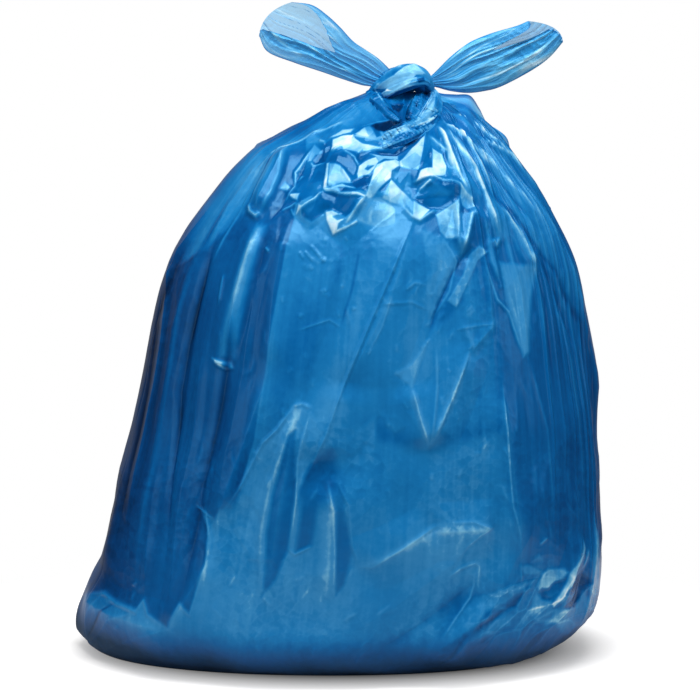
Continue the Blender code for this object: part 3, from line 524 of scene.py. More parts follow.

# The ridges between them, as (millimetres out, width of their flanks in pixels, tone, path)
# pale tones are painted highlights along the ridges, deep ones painted shade in the creases
crushedRidges = [
    (2.5, 6, 1.12, [(284, 146), (271, 166), (257, 194), (252, 206)]),
    (2.0, 5, 1.05, [(289, 149), (281, 176), (273, 194), (261, 214)]),
    (2.5, 6, 1.18, [(251, 205), (252, 213), (257, 217), (262, 213)]),
    (-1.5, 4, 0.2, [(282, 146), (249, 206)]),
    (1.0, 5, 0.98, [(272, 159), (250, 177)]),
    (1.0, 4, 0.92, [(255, 185), (225, 223), (212, 246)]),
    (1.0, 4, 0.9, [(252, 192), (225, 240), (214, 262)]),
    (1.5, 4, 1.12, [(315, 145), (295, 172), (294, 185), (280, 206)]),
    (1.2, 4, 1.1, [(281, 211), (298, 203)]),
    (1.2, 4, 1.12, [(310, 161), (313, 165), (324, 163)]),
    (1.2, 4, 1.12, [(331, 152), (343, 147), (351, 144), (354, 137)]),
    (1.5, 4, 1.12, [(343, 151), (355, 160), (359, 168)]),
    (1.5, 4, 1.12, [(342, 171), (352, 186)]),
    (2.0, 6, 1.16, [(366, 201), (355, 215), (348, 225), (344, 229)]),
    (1.8, 5, 1.14, [(325, 193), (316, 202), (303, 211), (298, 215)]),
    (1.0, 6, 0.98, [(301, 206), (315, 199)]),
    (1.5, 4, 1.1, [(262, 160), (291, 147), (313, 134), (340, 126), (353, 121)]),
    (1.2, 4, 1.14, [(319, 141), (326, 143)]),
    (1.0, 4, 1.18, [(268, 249), (272, 254)]),
    (1.2, 5, 1.0, [(256, 250), (247, 290)]),
    (0.8, 3, 1.0, [(305, 252), (314, 262)]),
    (0.8, 3, 0.98, [(300, 253), (305, 260)]),
    (0.8, 3, 0.95, [(311, 246), (322, 259)]),
    (1.0, 4, 1.14, [(322, 260), (327, 262)]),
    (1.0, 3, 0.98, [(291, 209), (295, 218)]),
    (2.0, 7, 1.22, [(438, 127), (448, 158), (456, 179), (468, 202)]),
    (2.5, 11, 1.16, [(442, 129), (457, 155), (472, 171), (478, 190), (498, 238), (495, 245)]),
    (1.5, 11, 1.08, [(497, 202), (514, 231), (526, 256), (536, 273)]),
    (1.0, 4, 1.06, [(439, 120), (478, 137), (511, 157), (540, 192), (556, 222)]),
    (1.2, 6, 1.1, [(439, 123), (468, 145), (496, 171)]),
    (-1.5, 8, 0.38, [(472, 171), (495, 197), (522, 231), (541, 256), (556, 284), (576, 340)]),
    (-2.0, 6, 0.38, [(445, 142), (462, 171), (478, 197), (487, 235)]),
    (-2.0, 6, 0.35, [(439, 118), (463, 132), (493, 139)]),
    (-1.5, 5, 0.4, [(441, 124), (480, 160), (512, 198), (538, 232)]),
    (1.2, 5, 1.05, [(441, 122), (486, 158), (520, 196), (548, 236)]),
    (1.8, 6, 1.16, [(437, 126), (445, 152), (452, 177)]),
    (1.8, 5, 1.18, [(438, 121), (458, 134), (472, 153), (486, 181), (494, 206)]),
    (-1.2, 4, 0.4, [(438, 121), (462, 148), (481, 181), (492, 215)]),
    (1.0, 4, 1.05, [(440, 112), (470, 122), (500, 146), (528, 178)]),
    (-1.0, 4, 0.45, [(440, 115), (476, 134), (510, 166), (540, 208)]),
    (2.0, 5, 1.18, [(411, 184), (432, 182), (456, 189), (468, 202)]),
    (2.0, 5, 1.18, [(418, 192), (431, 185)]),
    (1.8, 5, 1.12, [(402, 208), (412, 219), (419, 222), (433, 212), (439, 212)]),
    (2.0, 5, 1.16, [(457, 200), (456, 240), (460, 253)]),
    (2.5, 7, 1.16, [(472, 211), (468, 218), (461, 253)]),
    (2.0, 6, 1.15, [(491, 240), (495, 246), (498, 238)]),
    (-2.5, 6, 0.05, [(370, 151), (396, 153), (410, 146), (419, 139)]),
    (1.0, 4, 1.1, [(429, 137), (437, 148), (445, 157), (448, 170)]),
    (1.2, 5, 0.95, [(485, 240), (490, 262), (497, 280)]),
]

# What the front of the knot shows, given in the same way: its facets
# pale tones are painted highlights, deep ones painted shade, down to the near black of its hollows
knotFacets = [
    (0.52, 0, [(371, 91), (374, 87), (386, 106), (400, 121), (386, 122), (374, 108)]),
    (0.96, 0.4, [
        (376, 89), (380, 84), (388, 79), (396, 74), (408, 71), (416, 73), (411, 80), (404, 87), (395, 91),
        (386, 89)]),
    (1.0, 0.3, [(394, 75), (405, 67), (415, 64), (421, 69), (426, 74), (417, 75), (408, 72), (401, 75)]),
    (1.0, 0.3, [(411, 73), (417, 74), (409, 84), (396, 90), (401, 84), (406, 80)]),
    (0.76, 0, [(417, 77), (425, 74), (432, 78), (433, 84), (432, 95), (427, 91), (421, 85), (416, 84)]),
    (0.26, -0.3, [(417, 79), (424, 77), (425, 81), (419, 83)]),
    (0.92, 0.2, [(380, 93), (386, 91), (396, 91), (387, 98), (383, 95)]),
    (0.46, 0, [(376, 89), (386, 90), (381, 93), (386, 100), (379, 96)]),
    (0.36, -0.5, [
        (385, 100), (396, 92), (404, 89), (413, 86), (425, 85), (432, 91), (430, 98), (421, 108), (417, 112),
        (409, 122), (403, 120), (391, 108)]),
    (0.56, 0, [(389, 101), (400, 93), (406, 92), (400, 100), (393, 104)]),
    (0.03, -0.6, [(391, 105), (403, 103), (405, 108), (399, 112), (393, 110)]),
    (0.05, -0.5, [(425, 87), (431, 91), (430, 98), (425, 94)]),
    (0.62, 0.3, [(411, 95), (421, 97), (427, 101), (424, 111), (415, 119), (408, 117), (407, 107)]),
    (0.62, 0.3, [(411, 100), (425, 107), (420, 110), (412, 108)]),
    (0.1, -0.3, [(408, 110), (413, 112), (411, 120), (407, 118)]),
    (0.92, 0.3, [(431, 95), (436, 93), (441, 103), (439, 111), (425, 120), (416, 124), (425, 111)]),
    (1.02, 0.3, [(430, 105), (434, 101), (432, 111), (425, 113)]),
    (0.56, 0, [(436, 95), (441, 104), (439, 110), (435, 104)]),
    (0.04, -0.6, [(370, 128), (375, 126), (390, 120), (404, 122), (401, 126), (384, 132), (376, 131)]),
    (0.9, 0.3, [
        (405, 126), (415, 131), (431, 124), (436, 126), (421, 135), (401, 142), (388, 148), (380, 150),
        (385, 141), (395, 131)]),
    (1.04, 0.4, [(421, 124), (439, 113), (432, 121), (420, 128)]),
    (1.04, 0.3, [(395, 131), (405, 126), (411, 130), (398, 134)]),
    (0.5, -0.2, [(398, 134), (413, 131), (421, 134), (404, 139), (390, 143)]),
    (0.92, 0.3, [(384, 133), (394, 131), (388, 138), (383, 140)]),
    (0.28, -0.4, [
        (436, 126), (426, 134), (413, 140), (399, 148), (386, 152), (388, 147), (402, 141), (422, 133)]),
    (0.03, -0.6, [(424, 137), (409, 145), (398, 154), (388, 155), (399, 148), (413, 140)]),
]

# and its crests and creases
# with painted highlights on the crests and painted shade in the creases
knotRidges = [
    (0.8, 2.6, 0.98, [(384, 97), (396, 91), (404, 88), (413, 85), (421, 83)]),
    (0.6, 2.2, 1.06, [(394, 75), (405, 67), (415, 64), (421, 69)]),
    (0.5, 2.2, 0.98, [(380, 84), (388, 79), (396, 75)]),
    (0.8, 2.6, 1.12, [(374, 87), (377, 93), (381, 99), (385, 103)]),
    (0.5, 1.8, 0.8, [(385, 103), (392, 112), (401, 121)]),
    (0.5, 1.8, 0.94, [(371, 91), (366, 95), (360, 96)]),
    (0.6, 2.0, 1.1, [(411, 100), (413, 97), (416, 95)]),
    (0.4, 1.6, 0.96, [(412, 99), (425, 107)]),
    (0.6, 2.0, 1.05, [(409, 114), (413, 117), (417, 115), (421, 108)]),
    (0.7, 2.0, 1.14, [(416, 122), (421, 113), (427, 103), (431, 95)]),
    (0.5, 1.8, 1.1, [(418, 121), (425, 110), (433, 96)]),
    (0.9, 2.6, 1.08, [(439, 113), (433, 119), (425, 122), (416, 126), (410, 125), (405, 124)]),
    (0.6, 2.2, 1.05, [(405, 125), (399, 128), (390, 131), (384, 132)]),
    (0.4, 1.8, 0.86, [(360, 128), (375, 125), (389, 120), (404, 122)]),
    (0.4, 1.8, 0.96, [(405, 126), (410, 132), (415, 131)]),
    (0.4, 1.8, 1.06, [(387, 143), (389, 146), (392, 143)]),
    (0.5, 1.8, 0.98, [(438, 124), (426, 134), (413, 140), (398, 148)]),
    (-0.6, 2.2, 0.06, [(385, 105), (395, 114), (404, 121)]),
    (0.4, 1.8, 0.8, [(392, 100), (396, 98), (400, 94)]),
    (0.4, 1.6, 0.72, [(403, 96), (405, 104), (403, 110)]),
]

# Small creases strewn over the front: boxes in pixels, how many fall in each, how they lean from upright in
# degrees, and how long they are
strays = dict(
    out=0.5,  # millimetres, at the most
    width=(3.0, 5.0),
    # paler is a painted highlight along each crease
    paler=0.12,
    bend=0.30,
    boxes=[
        ((270, 215, 500, 420), 90, (-45, 45), (4, 16)),
        ((300, 235, 350, 300), 30, (-60, -20), (4, 14)),
        ((400, 280, 500, 350), 40, (20, 80), (5, 18)),
        ((90, 575, 330, 655), 60, (-50, 60), (5, 20)),
        ((330, 590, 600, 660), 60, (35, 70), (6, 26)),
        ((130, 240, 270, 560), 70, (-4, 22), (10, 50)),
        ((480, 200, 600, 560), 80, (-34, 4), (10, 50)),
        ((250, 400, 520, 600), 60, (-40, 40), (5, 18)),
    ],
)

# The film: one closed skin, and a finer layer of it over the front, whose range is in degrees round from the
# front and in shares of the way from under the foot to the tie
film = dict(
    skin=dict(columns=220, rows=150),
    front=dict(columns=582, rows=596, round=(-80, 80), along=(0.03, 0.985), lift=1.4),
    buried=4.0,  # millimetres that the layer's border lies under the skin
    cleared=0.004,  # metres that the skin lies back where the layer covers it
    underRows=(0.15, 0.4, 0.65),  # rings of the underside, as shares of the foot's innermost ring
    relief=0.55,  # share of their given millimetres that areas and facets stand out
    cutIn=0.85,  # how fully a crest takes its tone
    facing=(-0.05, 0.25),  # how far round the front's folds fade out, and the back's
    # the back takes the front's folds turned and moved in this way
    backTurn=(-0.94, -1.0, 1.03),
    backMove=(0.03, 0.0, -0.012),
    wander=7,  # pixels by which facets stray from an even pattern
    # broad creases' pale crests are painted highlights
    crestWidth=0.010,  # metres, as the next three: broad creases' pale crests
    slackDepth=0.0042,
    lumpDepth=0.0025,  # of the load, low down
    hangDepth=0.002,  # of film that hangs over it, higher up
    low=(0.32, 0.14),  # lumps begin below this height, and are full this much lower
    # bands that run down from the tie: how many round the bag and along it, and a seed
    bands=(34, 5, 3.0),
    fineBands=(90, 9, 8.0),
    # the foot is darkened by painted shade
    footEnds=(0.018, 0.062),  # heights between which the dark foot fades out
    footShade=0.95,
    footDull=4.0,
    seed=5,
)

# Tones run from 0, the deepest film, to this
mostTone = 1.2
plainTone = 0.45

# What each kind of fold adds to the tone; a gather, for each metre that it stands out
# Pale crests, ridges and gathers are painted highlights, and the deeper tone of the sides is painted shade
tints = dict(
    crushed=0.04, crushedFacet=0.10, crushedNoise=0.22, corner=0.05, cornerFacet=0.28, cornerRidge=0.20,
    slackFacet=0.04, crest=0.16, crinkleFacet=0.08, crinkleRidge=0.04, gather=60.0, ungathered=-0.08,
    band=0.08, fineBand=0.06, side=-0.24, drift=0.10,
)

# Smooth noise over the film: its size in metres, and a seed
noises = dict(
    slack=(0.150, 0.0), across=(0.030, 50.0), down=(0.030, 70.0), crinkles=(0.09, 33.0),
    crushedTone=(0.020, 61.0), lumps=(0.045, 9.0), hanging=(0.05, 5.0), tone=(0.06, 21.0),
    border=(0.03, 40.0),
)

# Crushed film: where it is, as middle and half widths in pixels and the shares of those over which it fades
# out, and its kinds of facet, as size in pixels, steepest slope, dish, seed and share of their height shown
crush = dict(
    underKnot=((372, 178), (112, 68), (0.55, 1.15)),
    corner=((548, 622), (92, 58), (0.5, 1.05)),
    large=(27, 0.36, 0.30, 1.0, 0.30),
    small=(12, 0.30, 0.30, 11.0, 0.30),
    slack=(38, 0.13, 0.06, 21.0, 0.7),
    tiny=(8, 0.12, 0.14, 31.0, 0.30),
    # and away from those places: how crushed it is below the tie, over which distances from the tie that fades
    # out, and how crinkled the rest is everywhere, low down and by noise
    collar=0.55,
    collarEnds=(0.06, 0.16),
    crinkled=(0.15, 0.8, 2.0),
    slash=(15, 0.32, 0.16, 41.0, 0.4),
    edges=dict(crushed=1.0, knot=0.9, strand=0.7),  # how soft the listed facets' edges are, in pixels
    evened=(0.18, 0.70),  # the listed tones of crushed film go this share of the way to this tone
)


def strayCreases():
    # each as millimetres out, width of its flanks in pixels, how much paler it is, and path
    rng = np.random.default_rng(film["seed"] + 3)
    creases = []
    for (x0, y0, x1, y1), count, leans, lengths in strays["boxes"]:
        for _ in range(count):
            x, y = rng.uniform(x0, x1), rng.uniform(y0, y1)
            lean = math.radians(rng.uniform(*leans))
            bend = lean + rng.normal(0, strays["bend"])
            half = rng.uniform(*lengths) / 2
            path = [(x + half * math.sin(lean), y - half * math.cos(lean)), (x, y),
                    (x - half * math.sin(bend), y + half * math.cos(bend))]
            strength = rng.uniform(0.15, 1.0) ** 2
            width = rng.uniform(*strays["width"])
            creases.append((strays["out"] * strength, width, strays["paler"] * strength, path))
    return creases


def reached(across, down, line, pad):
    # the points whose place in the picture is near this line's box
    x, y = np.array(line).T
    beside = (across > x.min() - pad) & (across < x.max() + pad)
    return np.nonzero(beside & (down > y.min() - pad) & (down < y.max() + pad))[0]


def paintFolds(across, down, facing, tone, areas, creases, lines, bevel=2.5):
    # how far the listed folds make the film stand out, and the tone that they give it. The edge of an area
    # rises over a bevel's width on each side, in pixels
    shape = across.shape
    across, down, facing = across.reshape(-1), down.reshape(-1), facing.reshape(-1)
    depth = np.zeros(len(across))
    tone = tone.reshape(-1).copy()
    # pale tones paint highlights and deep tones paint shade, of areas and of crests and creases
    for value, out, soft, outline in areas:
        at = reached(across, down, outline, max(soft, 2.5))
        if len(at):
            inside = within(across[at], down[at], outline)
            tone[at] += (value - tone[at]) * smooth(inside, -soft, soft) * facing[at]
            stand = smooth(inside, -bevel, bevel) * (0.35 + 0.65 * np.exp(-np.maximum(inside, 0) / 16))
            depth[at] += film["relief"] * out / 1000 * stand * facing[at]
    for out, width, paler, path in creases:
        at = reached(across, down, path, width)
        if len(at):
            away, share = fromLine(across[at], down[at], path)
            ends = smooth(share, 0.0, 0.3) * (1 - smooth(share, 0.7, 1.0)) * facing[at]
            depth[at] += out / 1000 * np.clip(1 - away / width, 0, 1) * ends
            tone[at] += paler * np.clip(1.2 - 2.4 * away / width, 0, 1) * ends
    for out, width, value, path in lines:
        at = reached(across, down, path, width)
        if len(at):
            away, share = fromLine(across[at], down[at], path)
            ends = smooth(share, -0.04, 0.18) * (1 - 0.8 * smooth(share, 0.75, 1.0)) * facing[at]
            depth[at] += out / 1000 * np.clip(1 - away / width, 0, 1) ** 1.4 * ends
            tone[at] += (value - tone[at]) * np.clip(1.1 - 2.4 * away / width, 0, 1) * ends * film["cutIn"]
    return depth.reshape(shape), tone.reshape(shape)


def chance(across, down, seed):
    # a random number from 0 to 1 for each whole pair of coordinates
    value = np.sin(across * 127.1 + down * 311.7 + seed * 74.7) * 43758.5453
    return value - np.floor(value)


def facets(u, v, size, slope, dish, seed, shown):
    # dished facets that meet in sharp ridges. Gives their height, a number for each facet, and how near the
    # closest ridge is, from 1 on it to 0 away from it
    cellU, cellV = np.floor(u / size), np.floor(v / size)
    best = np.full(u.shape, -1e9)
    second = np.full(u.shape, -1e9)
    mark = np.zeros(u.shape)
    for i in (-2, -1, 0, 1, 2):
        for j in (-2, -1, 0, 1, 2):
            cu, cv = cellU + i, cellV + j
            du = u - (cu + 0.5 + 0.9 * (chance(cu, cv, seed) - 0.5)) * size
            dv = v - (cv + 0.5 + 0.9 * (chance(cu, cv, seed + 1) - 0.5)) * size
            lean = 2 * math.pi * chance(cu, cv, seed + 2)
            steep = slope * (0.2 + 0.8 * chance(cu, cv, seed + 3))
            value = steep * (np.cos(lean) * du + np.sin(lean) * dv) - dish * (du * du + dv * dv) / size
            better = value > best
            second = np.where(better, best, np.maximum(second, value))
            mark = np.where(better, chance(cu, cv, seed + 4), mark)
            best = np.maximum(best, value)
    return shown * -best, mark, np.clip(1 - (best - second) / (1.6 * (slope + dish)), 0, 1)


# The gathers that run down from the tie, each with a depth, a width and a reach of its own
gathers = dict(
    count=120,
    depth=(0.0010, 0.0046),
    width=(0.35, 1.0),  # as a share of the way to the next one
    shortest=0.07,
    reach=0.14,  # how much further they reach at the most
    reachRight=0.50,  # and on the right besides
    closest=(64, 34, 1.9),  # degrees round, spread, and how much closer they stand there
    loosest=(-8, 30, -0.4),
)


def crowding(turns):
    # how close the gathers stand: fine and close on the right, loose over the middle of the front
    degrees = np.degrees(turns)
    (right, rightSpread, closer), (middle, middleSpread, looser) = gathers["closest"], gathers["loosest"]
    toRight = np.exp(-(((degrees - right) / rightSpread) ** 2))
    return 1.0 + closer * toRight + looser * np.exp(-(((degrees - middle) / middleSpread) ** 2)), toRight


def gathersAt(turns, fromTie):
    # how far the gathers stand out, and how far to the right each turn is
    rng = np.random.default_rng(film["seed"])
    dense = np.linspace(-math.pi, math.pi, 3000)
    crowd = np.cumsum(crowding(dense)[0])
    count = gathers["count"]
    numbers = crowd * count / crowd[-1]
    place = np.interp(turns, dense, numbers)
    toRight = crowding(turns)[1]
    depth = np.zeros((len(fromTie), len(turns)))
    for k in range(count):
        at = k + rng.uniform(-0.35, 0.35)
        right = float(crowding(np.interp([at], numbers, dense))[1][0])
        reach = gathers["reach"] + gathers["reachRight"] * right
        reach = gathers["shortest"] + reach * rng.uniform(0, 1) ** (1.3 - 0.6 * right)
        size = rng.uniform(*gathers["depth"])
        width = rng.uniform(*gathers["width"])
        away = np.abs((place - at + count / 2) % count - count / 2)
        fade = smooth(fromTie, 0.0, 0.03) * (1 - smooth(fromTie, 0.3 * reach, reach))
        depth += (size * fade)[:, None] * (np.clip(1 - away / width, 0, 1) ** 1.3)[None, :]
    return depth, np.broadcast_to(toRight, depth.shape)


# Broad creases all round: each from one (turn in degrees round from the front, share of the neck's height) to
# another, with how far it stands out and how wide its flanks are, in metres
broadCreases = [
    ((9, 0.82), (-4, 0.54), 0.007, 0.032), ((-4, 0.54), (-8, 0.42), 0.0055, 0.028),
    ((-24, 0.83), (-22, 0.56), 0.0065, 0.03), ((-22, 0.56), (-30, 0.3), 0.0065, 0.03),
    ((-44, 0.95), (-38, 0.83), 0.007, 0.022), ((-34, 0.82), (-34, 0.58), 0.0055, 0.026),
    ((-50, 0.77), (-48, 0.4), -0.0024, 0.026), ((-57, 0.77), (-53, 0.21), 0.0028, 0.028),
    ((24, 0.98), (29, 0.85), 0.006, 0.02), ((34, 0.97), (36, 0.79), 0.006, 0.022),
    ((41, 0.85), (48, 0.73), 0.005, 0.024), ((48, 0.8), (64, 0.6), -0.003, 0.026),
    ((60, 0.88), (84, 0.44), 0.0055, 0.028), ((-14, 0.51), (-16, 0.18), 0.006, 0.028),
    ((-5, 0.38), (-4, 0.18), 0.0055, 0.026), ((1, 0.23), (14, 0.29), 0.005, 0.028),
    ((14, 0.29), (28, 0.29), 0.005, 0.028), ((4, 0.06), (25, 0.2), -0.005, 0.03),
    ((20, 0.04), (27, 0.16), 0.0055, 0.026), ((-82, 0.11), (-38, 0.1), 0.0045, 0.028),
    ((-38, 0.1), (-30, 0.23), 0.0045, 0.026), ((30, 0.52), (36, 0.24), 0.0045, 0.026),
    ((8, 0.54), (12, 0.44), 0.0045, 0.024), ((22, 0.6), (12, 0.44), 0.0045, 0.024),
    ((50, 0.12), (59, 0.25), 0.005, 0.024), ((64, 0.09), (68, 0.26), 0.005, 0.024),
    ((-15, 0.94), (-15, 0.87), 0.006, 0.02), ((-15, 0.87), (-22, 0.83), 0.006, 0.02),
    ((-16, 0.87), (-2, 0.86), 0.006, 0.018), ((2, 0.93), (-2, 0.86), 0.006, 0.02),
    ((-2, 0.86), (-10, 0.8), 0.006, 0.02), ((16, 0.95), (12, 0.88), 0.006, 0.018),
    ((12, 0.88), (26, 0.87), 0.006, 0.018), ((29, 0.84), (22, 0.77), 0.006, 0.018),
    ((118, 0.84), (108, 0.2), 0.007, 0.04), ((148, 0.86), (156, 0.3), 0.007, 0.042),
    ((184, 0.88), (172, 0.46), 0.007, 0.042), ((212, 0.84), (224, 0.22), 0.007, 0.042),
    ((244, 0.8), (238, 0.26), 0.0065, 0.038), ((172, 0.46), (196, 0.16), 0.006, 0.04),
]


def broadFolds(wall, turns):
    # the broad creases and the slack of the film: how far they stand out, and how much paler their crests are,
    # as a painted highlight
    girth = np.linalg.norm(np.gradient(wall, turns, axis=1), axis=2) * math.pi / 180
    girth = np.broadcast_to(girth.mean(axis=1, keepdims=True), wall.shape[:2])
    depth = np.zeros(wall.shape[:2])
    crest = np.zeros(wall.shape[:2])
    for (turnA, highA), (turnB, highB), out, width in broadCreases:
        across = ((np.degrees(turns) - turnA + 180) % 360 - 180)[None, :] * girth
        run = (turnB - turnA) * girth
        up = wall[..., 2] - highA * bag["neck"][0]
        rise = (highB - highA) * bag["neck"][0]
        length = np.hypot(run, rise)
        along = (across * run + up * rise) / length**2
        aside = np.abs(across * rise - up * run) / length
        ends = smooth(along, -0.10, 0.22) * (1 - smooth(along, 0.78, 1.10))
        depth += out * np.clip(1 - aside / width, 0, 1) * ends
        crest += np.sign(out) * np.clip(1 - aside / film["crestWidth"], 0, 1) ** 2 * ends
    place = np.array([*bag["place"], 0.0])
    return depth + film["slackDepth"] * noiseOver(wall - place, *noises["slack"]), crest


def evened(value):
    # a tone of the crushed film, brought nearer to that of the film round it
    share, towards = crush["evened"]
    return value + share * (towards - value)


def inOval(across, down, middle, halfWidths, ends):
    # 1 in the middle of an oval place in the picture, fading to 0 outside it
    (x, y), (wide, tall) = middle, halfWidths
    return 1 - smooth(np.hypot((across - x) / wide, (down - y) / tall), *ends)


def folded(turns, shares, closed):
    # a stretch of the film with all its folds: its points, the way they face, and the fields its finish reads
    wall, fromTie = wallAt(turns, shares)
    normal = facingOut(wall, closed)
    across, down = seenAt(wall)
    front = smooth(-normal[..., 1], *film["facing"])
    edges = crush["edges"]
    areas = [*filmAreas.values(),
             *((evened(value), out, edges["crushed"], outline) for value, out, outline in crushedFacets),
             *((value, out, edges["knot"], outline) for value, out, outline in knotFacets)]
    lines = [*filmFolds.values(),
             *((out, wide, evened(value), path) for out, wide, value, path in crushedRidges), *knotRidges]
    creases = strayCreases()
    plain = np.full(across.shape, plainTone)
    depth, tone = paintFolds(across, down, front, plain, areas, creases, lines)
    broad, crest = broadFolds(wall, turns)
    if closed:
        # turned about and moved, so that the back isn't the front's mirror
        turned = wall * film["backTurn"] + film["backMove"]
        back = smooth(normal[..., 1], *film["facing"])
        backDepth, backTone = paintFolds(*seenAt(turned), back, plain, areas, creases, lines)
        depth += backDepth
        tone += backTone - plainTone
    gathered, toRight = gathersAt(turns, fromTie)
    tied = smooth(fromTie, 0.0, 0.035)[:, None]

    # where the film is crushed, crumpled and crinkled
    crushed = inOval(across, down, *crush["underKnot"]) * front
    collar = (1 - smooth(fromTie, *crush["collarEnds"]))[:, None] * (1 - 0.8 * toRight) * tied
    crushed = np.maximum(crushed, crush["collar"] * collar)
    corner = inOval(across, down, *crush["corner"]) * front
    low = smooth(film["low"][0] - wall[..., 2], 0.0, film["low"][1])
    everywhere, lowDown, uneven = crush["crinkled"]
    crinkled = everywhere + lowDown * low + uneven * noiseOver(wall, *noises["crinkles"])
    crinkled = np.clip(crinkled, 0, 1) * (1 - crushed)
    atFoot = 1 - smooth(wall[..., 2], *film["footEnds"])

    # facets, each kind slanted or drawn out in its own way
    u = across + film["wander"] * noiseOver(wall, *noises["across"])
    v = down + film["wander"] * noiseOver(wall, *noises["down"])
    large, _, _ = facets(u, 0.8 * v, *crush["large"])
    small, smallMark, _ = facets(u + 0.3 * v, 0.9 * v, *crush["small"])
    slack, slackMark, _ = facets(u + 0.15 * v, 0.42 * v, *crush["slack"])
    tiny, tinyMark, tinyRidge = facets(u - 0.4 * v, v + 0.2 * u, *crush["tiny"])
    slash, slashMark, slashRidge = facets(u + 1.1 * v, 0.35 * (v - 1.1 * u), *crush["slash"])

    # depth: gathers, facets, broad creases, lumps of the load, and slack hanging over it
    depth += gathered * (1 - 0.6 * crushed)
    depth += (large * crushed + small * np.maximum(crushed, 0.5 * corner) + slash * corner
              + slack * (1 - crushed) * (1 - 0.5 * corner) * tied + tiny * crinkled) / 1000
    lumps, hanging = noiseOver(wall, *noises["lumps"]), noiseOver(wall * (1.0, 1.0, 0.25), *noises["hanging"])
    depth += broad * smooth(wall[..., 2], 0.0, 0.035) + film["lumpDepth"] * lumps * low
    depth += film["hangDepth"] * hanging * (1 - low) * tied
    depth *= smooth(wall[..., 2], 0.0, 0.012) * tied

    # tone: what each of them adds, with painted highlights on crests and ridges, then bands that run down from
    # the tie, and painted shade where the film faces sideways and at the foot
    tone += crushed * (tints["crushed"] + tints["crushedFacet"] * (smallMark - 0.5)
                       + tints["crushedNoise"] * noiseOver(wall, *noises["crushedTone"]))
    tone += corner * (tints["corner"] + tints["cornerFacet"] * (slashMark - 0.5)
                      + tints["cornerRidge"] * slashRidge)
    tone += (1 - crushed) * (tints["slackFacet"] * (slackMark - 0.5) + tints["crest"] * crest)
    tone += crinkled * (tints["crinkleFacet"] * (tinyMark - 0.5) + tints["crinkleRidge"] * tinyRidge)
    tone += (tints["gather"] * gathered + tints["ungathered"]) * (1 - crushed)
    coarse, fine = (
        noiseAt(turns[None, :] * count, fromTie[:, None] * along, seed)
        for count, along, seed in (film["bands"], film["fineBands"]))
    tone += (tints["band"] * coarse + tints["fineBand"] * fine) * (1 - crushed) * (0.6 + 0.6 * toRight)
    # painted shade where the film faces sideways, and on the foot
    tone += tints["side"] * smooth(np.abs(normal[..., 0]), 0.60, 0.97) * (1 - 0.6 * toRight)
    tone -= tone * atFoot * film["footShade"]
    tone += tints["drift"] * noiseOver(wall, *noises["tone"])
    # near the floor the film is dull
    crushed = np.maximum(crushed, 0.5 * corner) - film["footDull"] * atFoot
    return wall, normal, depth, dict(tone=np.clip(tone, 0, mostTone), crushed=crushed)


def filmSkin():
    skin = film["skin"]
    turns = turnsRound(np.arange(skin["columns"]) / skin["columns"])
    shares = np.linspace(0, 1, skin["rows"])
    wall, normal, depth, fields = folded(turns, shares, True)
    degrees = np.degrees(turns)
    (left, right), (_, high) = film["front"]["round"], film["front"]["along"]
    inside = smooth(degrees, left + 3, left + 9) * (1 - smooth(degrees, right - 9, right - 3))
    rows = 1 - smooth(shares, high - 0.05, high - 0.02)
    depth -= film["cleared"] * rows[:, None] * inside[None, :]
    points = wall + normal * depth[..., None]
    points[..., 2] = np.maximum(points[..., 2], 0.0)
    middle = points[0].mean(axis=0)
    under = [middle + (points[0] - middle) * share for share in film["underRows"]]
    points = np.concatenate([under, points])
    points[: len(under), :, 2] = 0.0
    fields = {name: np.concatenate([values[:1]] * len(under) + [values]) for name, values in fields.items()}
    return points, fields


def filmFront():
    settings = film["front"]
    left, right = (math.radians(a) for a in settings["round"])
    even = np.linspace(0, 1, 4001)
    shares = np.interp([left, right], turnsRound(even), even)
    turns = turnsRound(np.linspace(*shares, settings["columns"]))
    along = np.linspace(*settings["along"], settings["rows"])
    wall, normal, depth, fields = folded(turns, along, False)
    # its border dips under the skin along an uneven line
    edge = np.minimum(turns - left, right - turns)[None, :] / (right - left)
    edge = np.minimum(edge, (along[-1] - along)[:, None] / (along[-1] - along[0]))
    edge = edge + 0.010 * noiseOver(wall, *noises["border"])
    lift = -film["buried"] + (film["buried"] + settings["lift"]) * smooth(edge, 0.004, 0.035)
    points = wall + normal * (depth + lift / 1000)[..., None]
    points[..., 2] = np.maximum(points[..., 2], 0.0)
    return points, fields


def inQuarters(name, points, fields):
    # four pieces that share their borders and the way those face, so that no seam shows
    faceUp = facingOut(points, False)
    halfRow, halfColumn = points.shape[0] // 2, points.shape[1] // 2
    pieces = []
    for high, rows in (("low", slice(0, halfRow + 1)), ("high", slice(halfRow, None))):
        for side, columns in (("left", slice(0, halfColumn + 1)), ("right", slice(halfColumn, None))):
            cut = {field: values[rows, columns] for field, values in fields.items()}
            pieces.append(filmPiece(
                f"{name}_{high}_{side}", [(points[rows, columns], cut)], faceUp=faceUp[rows, columns]))
    return pieces


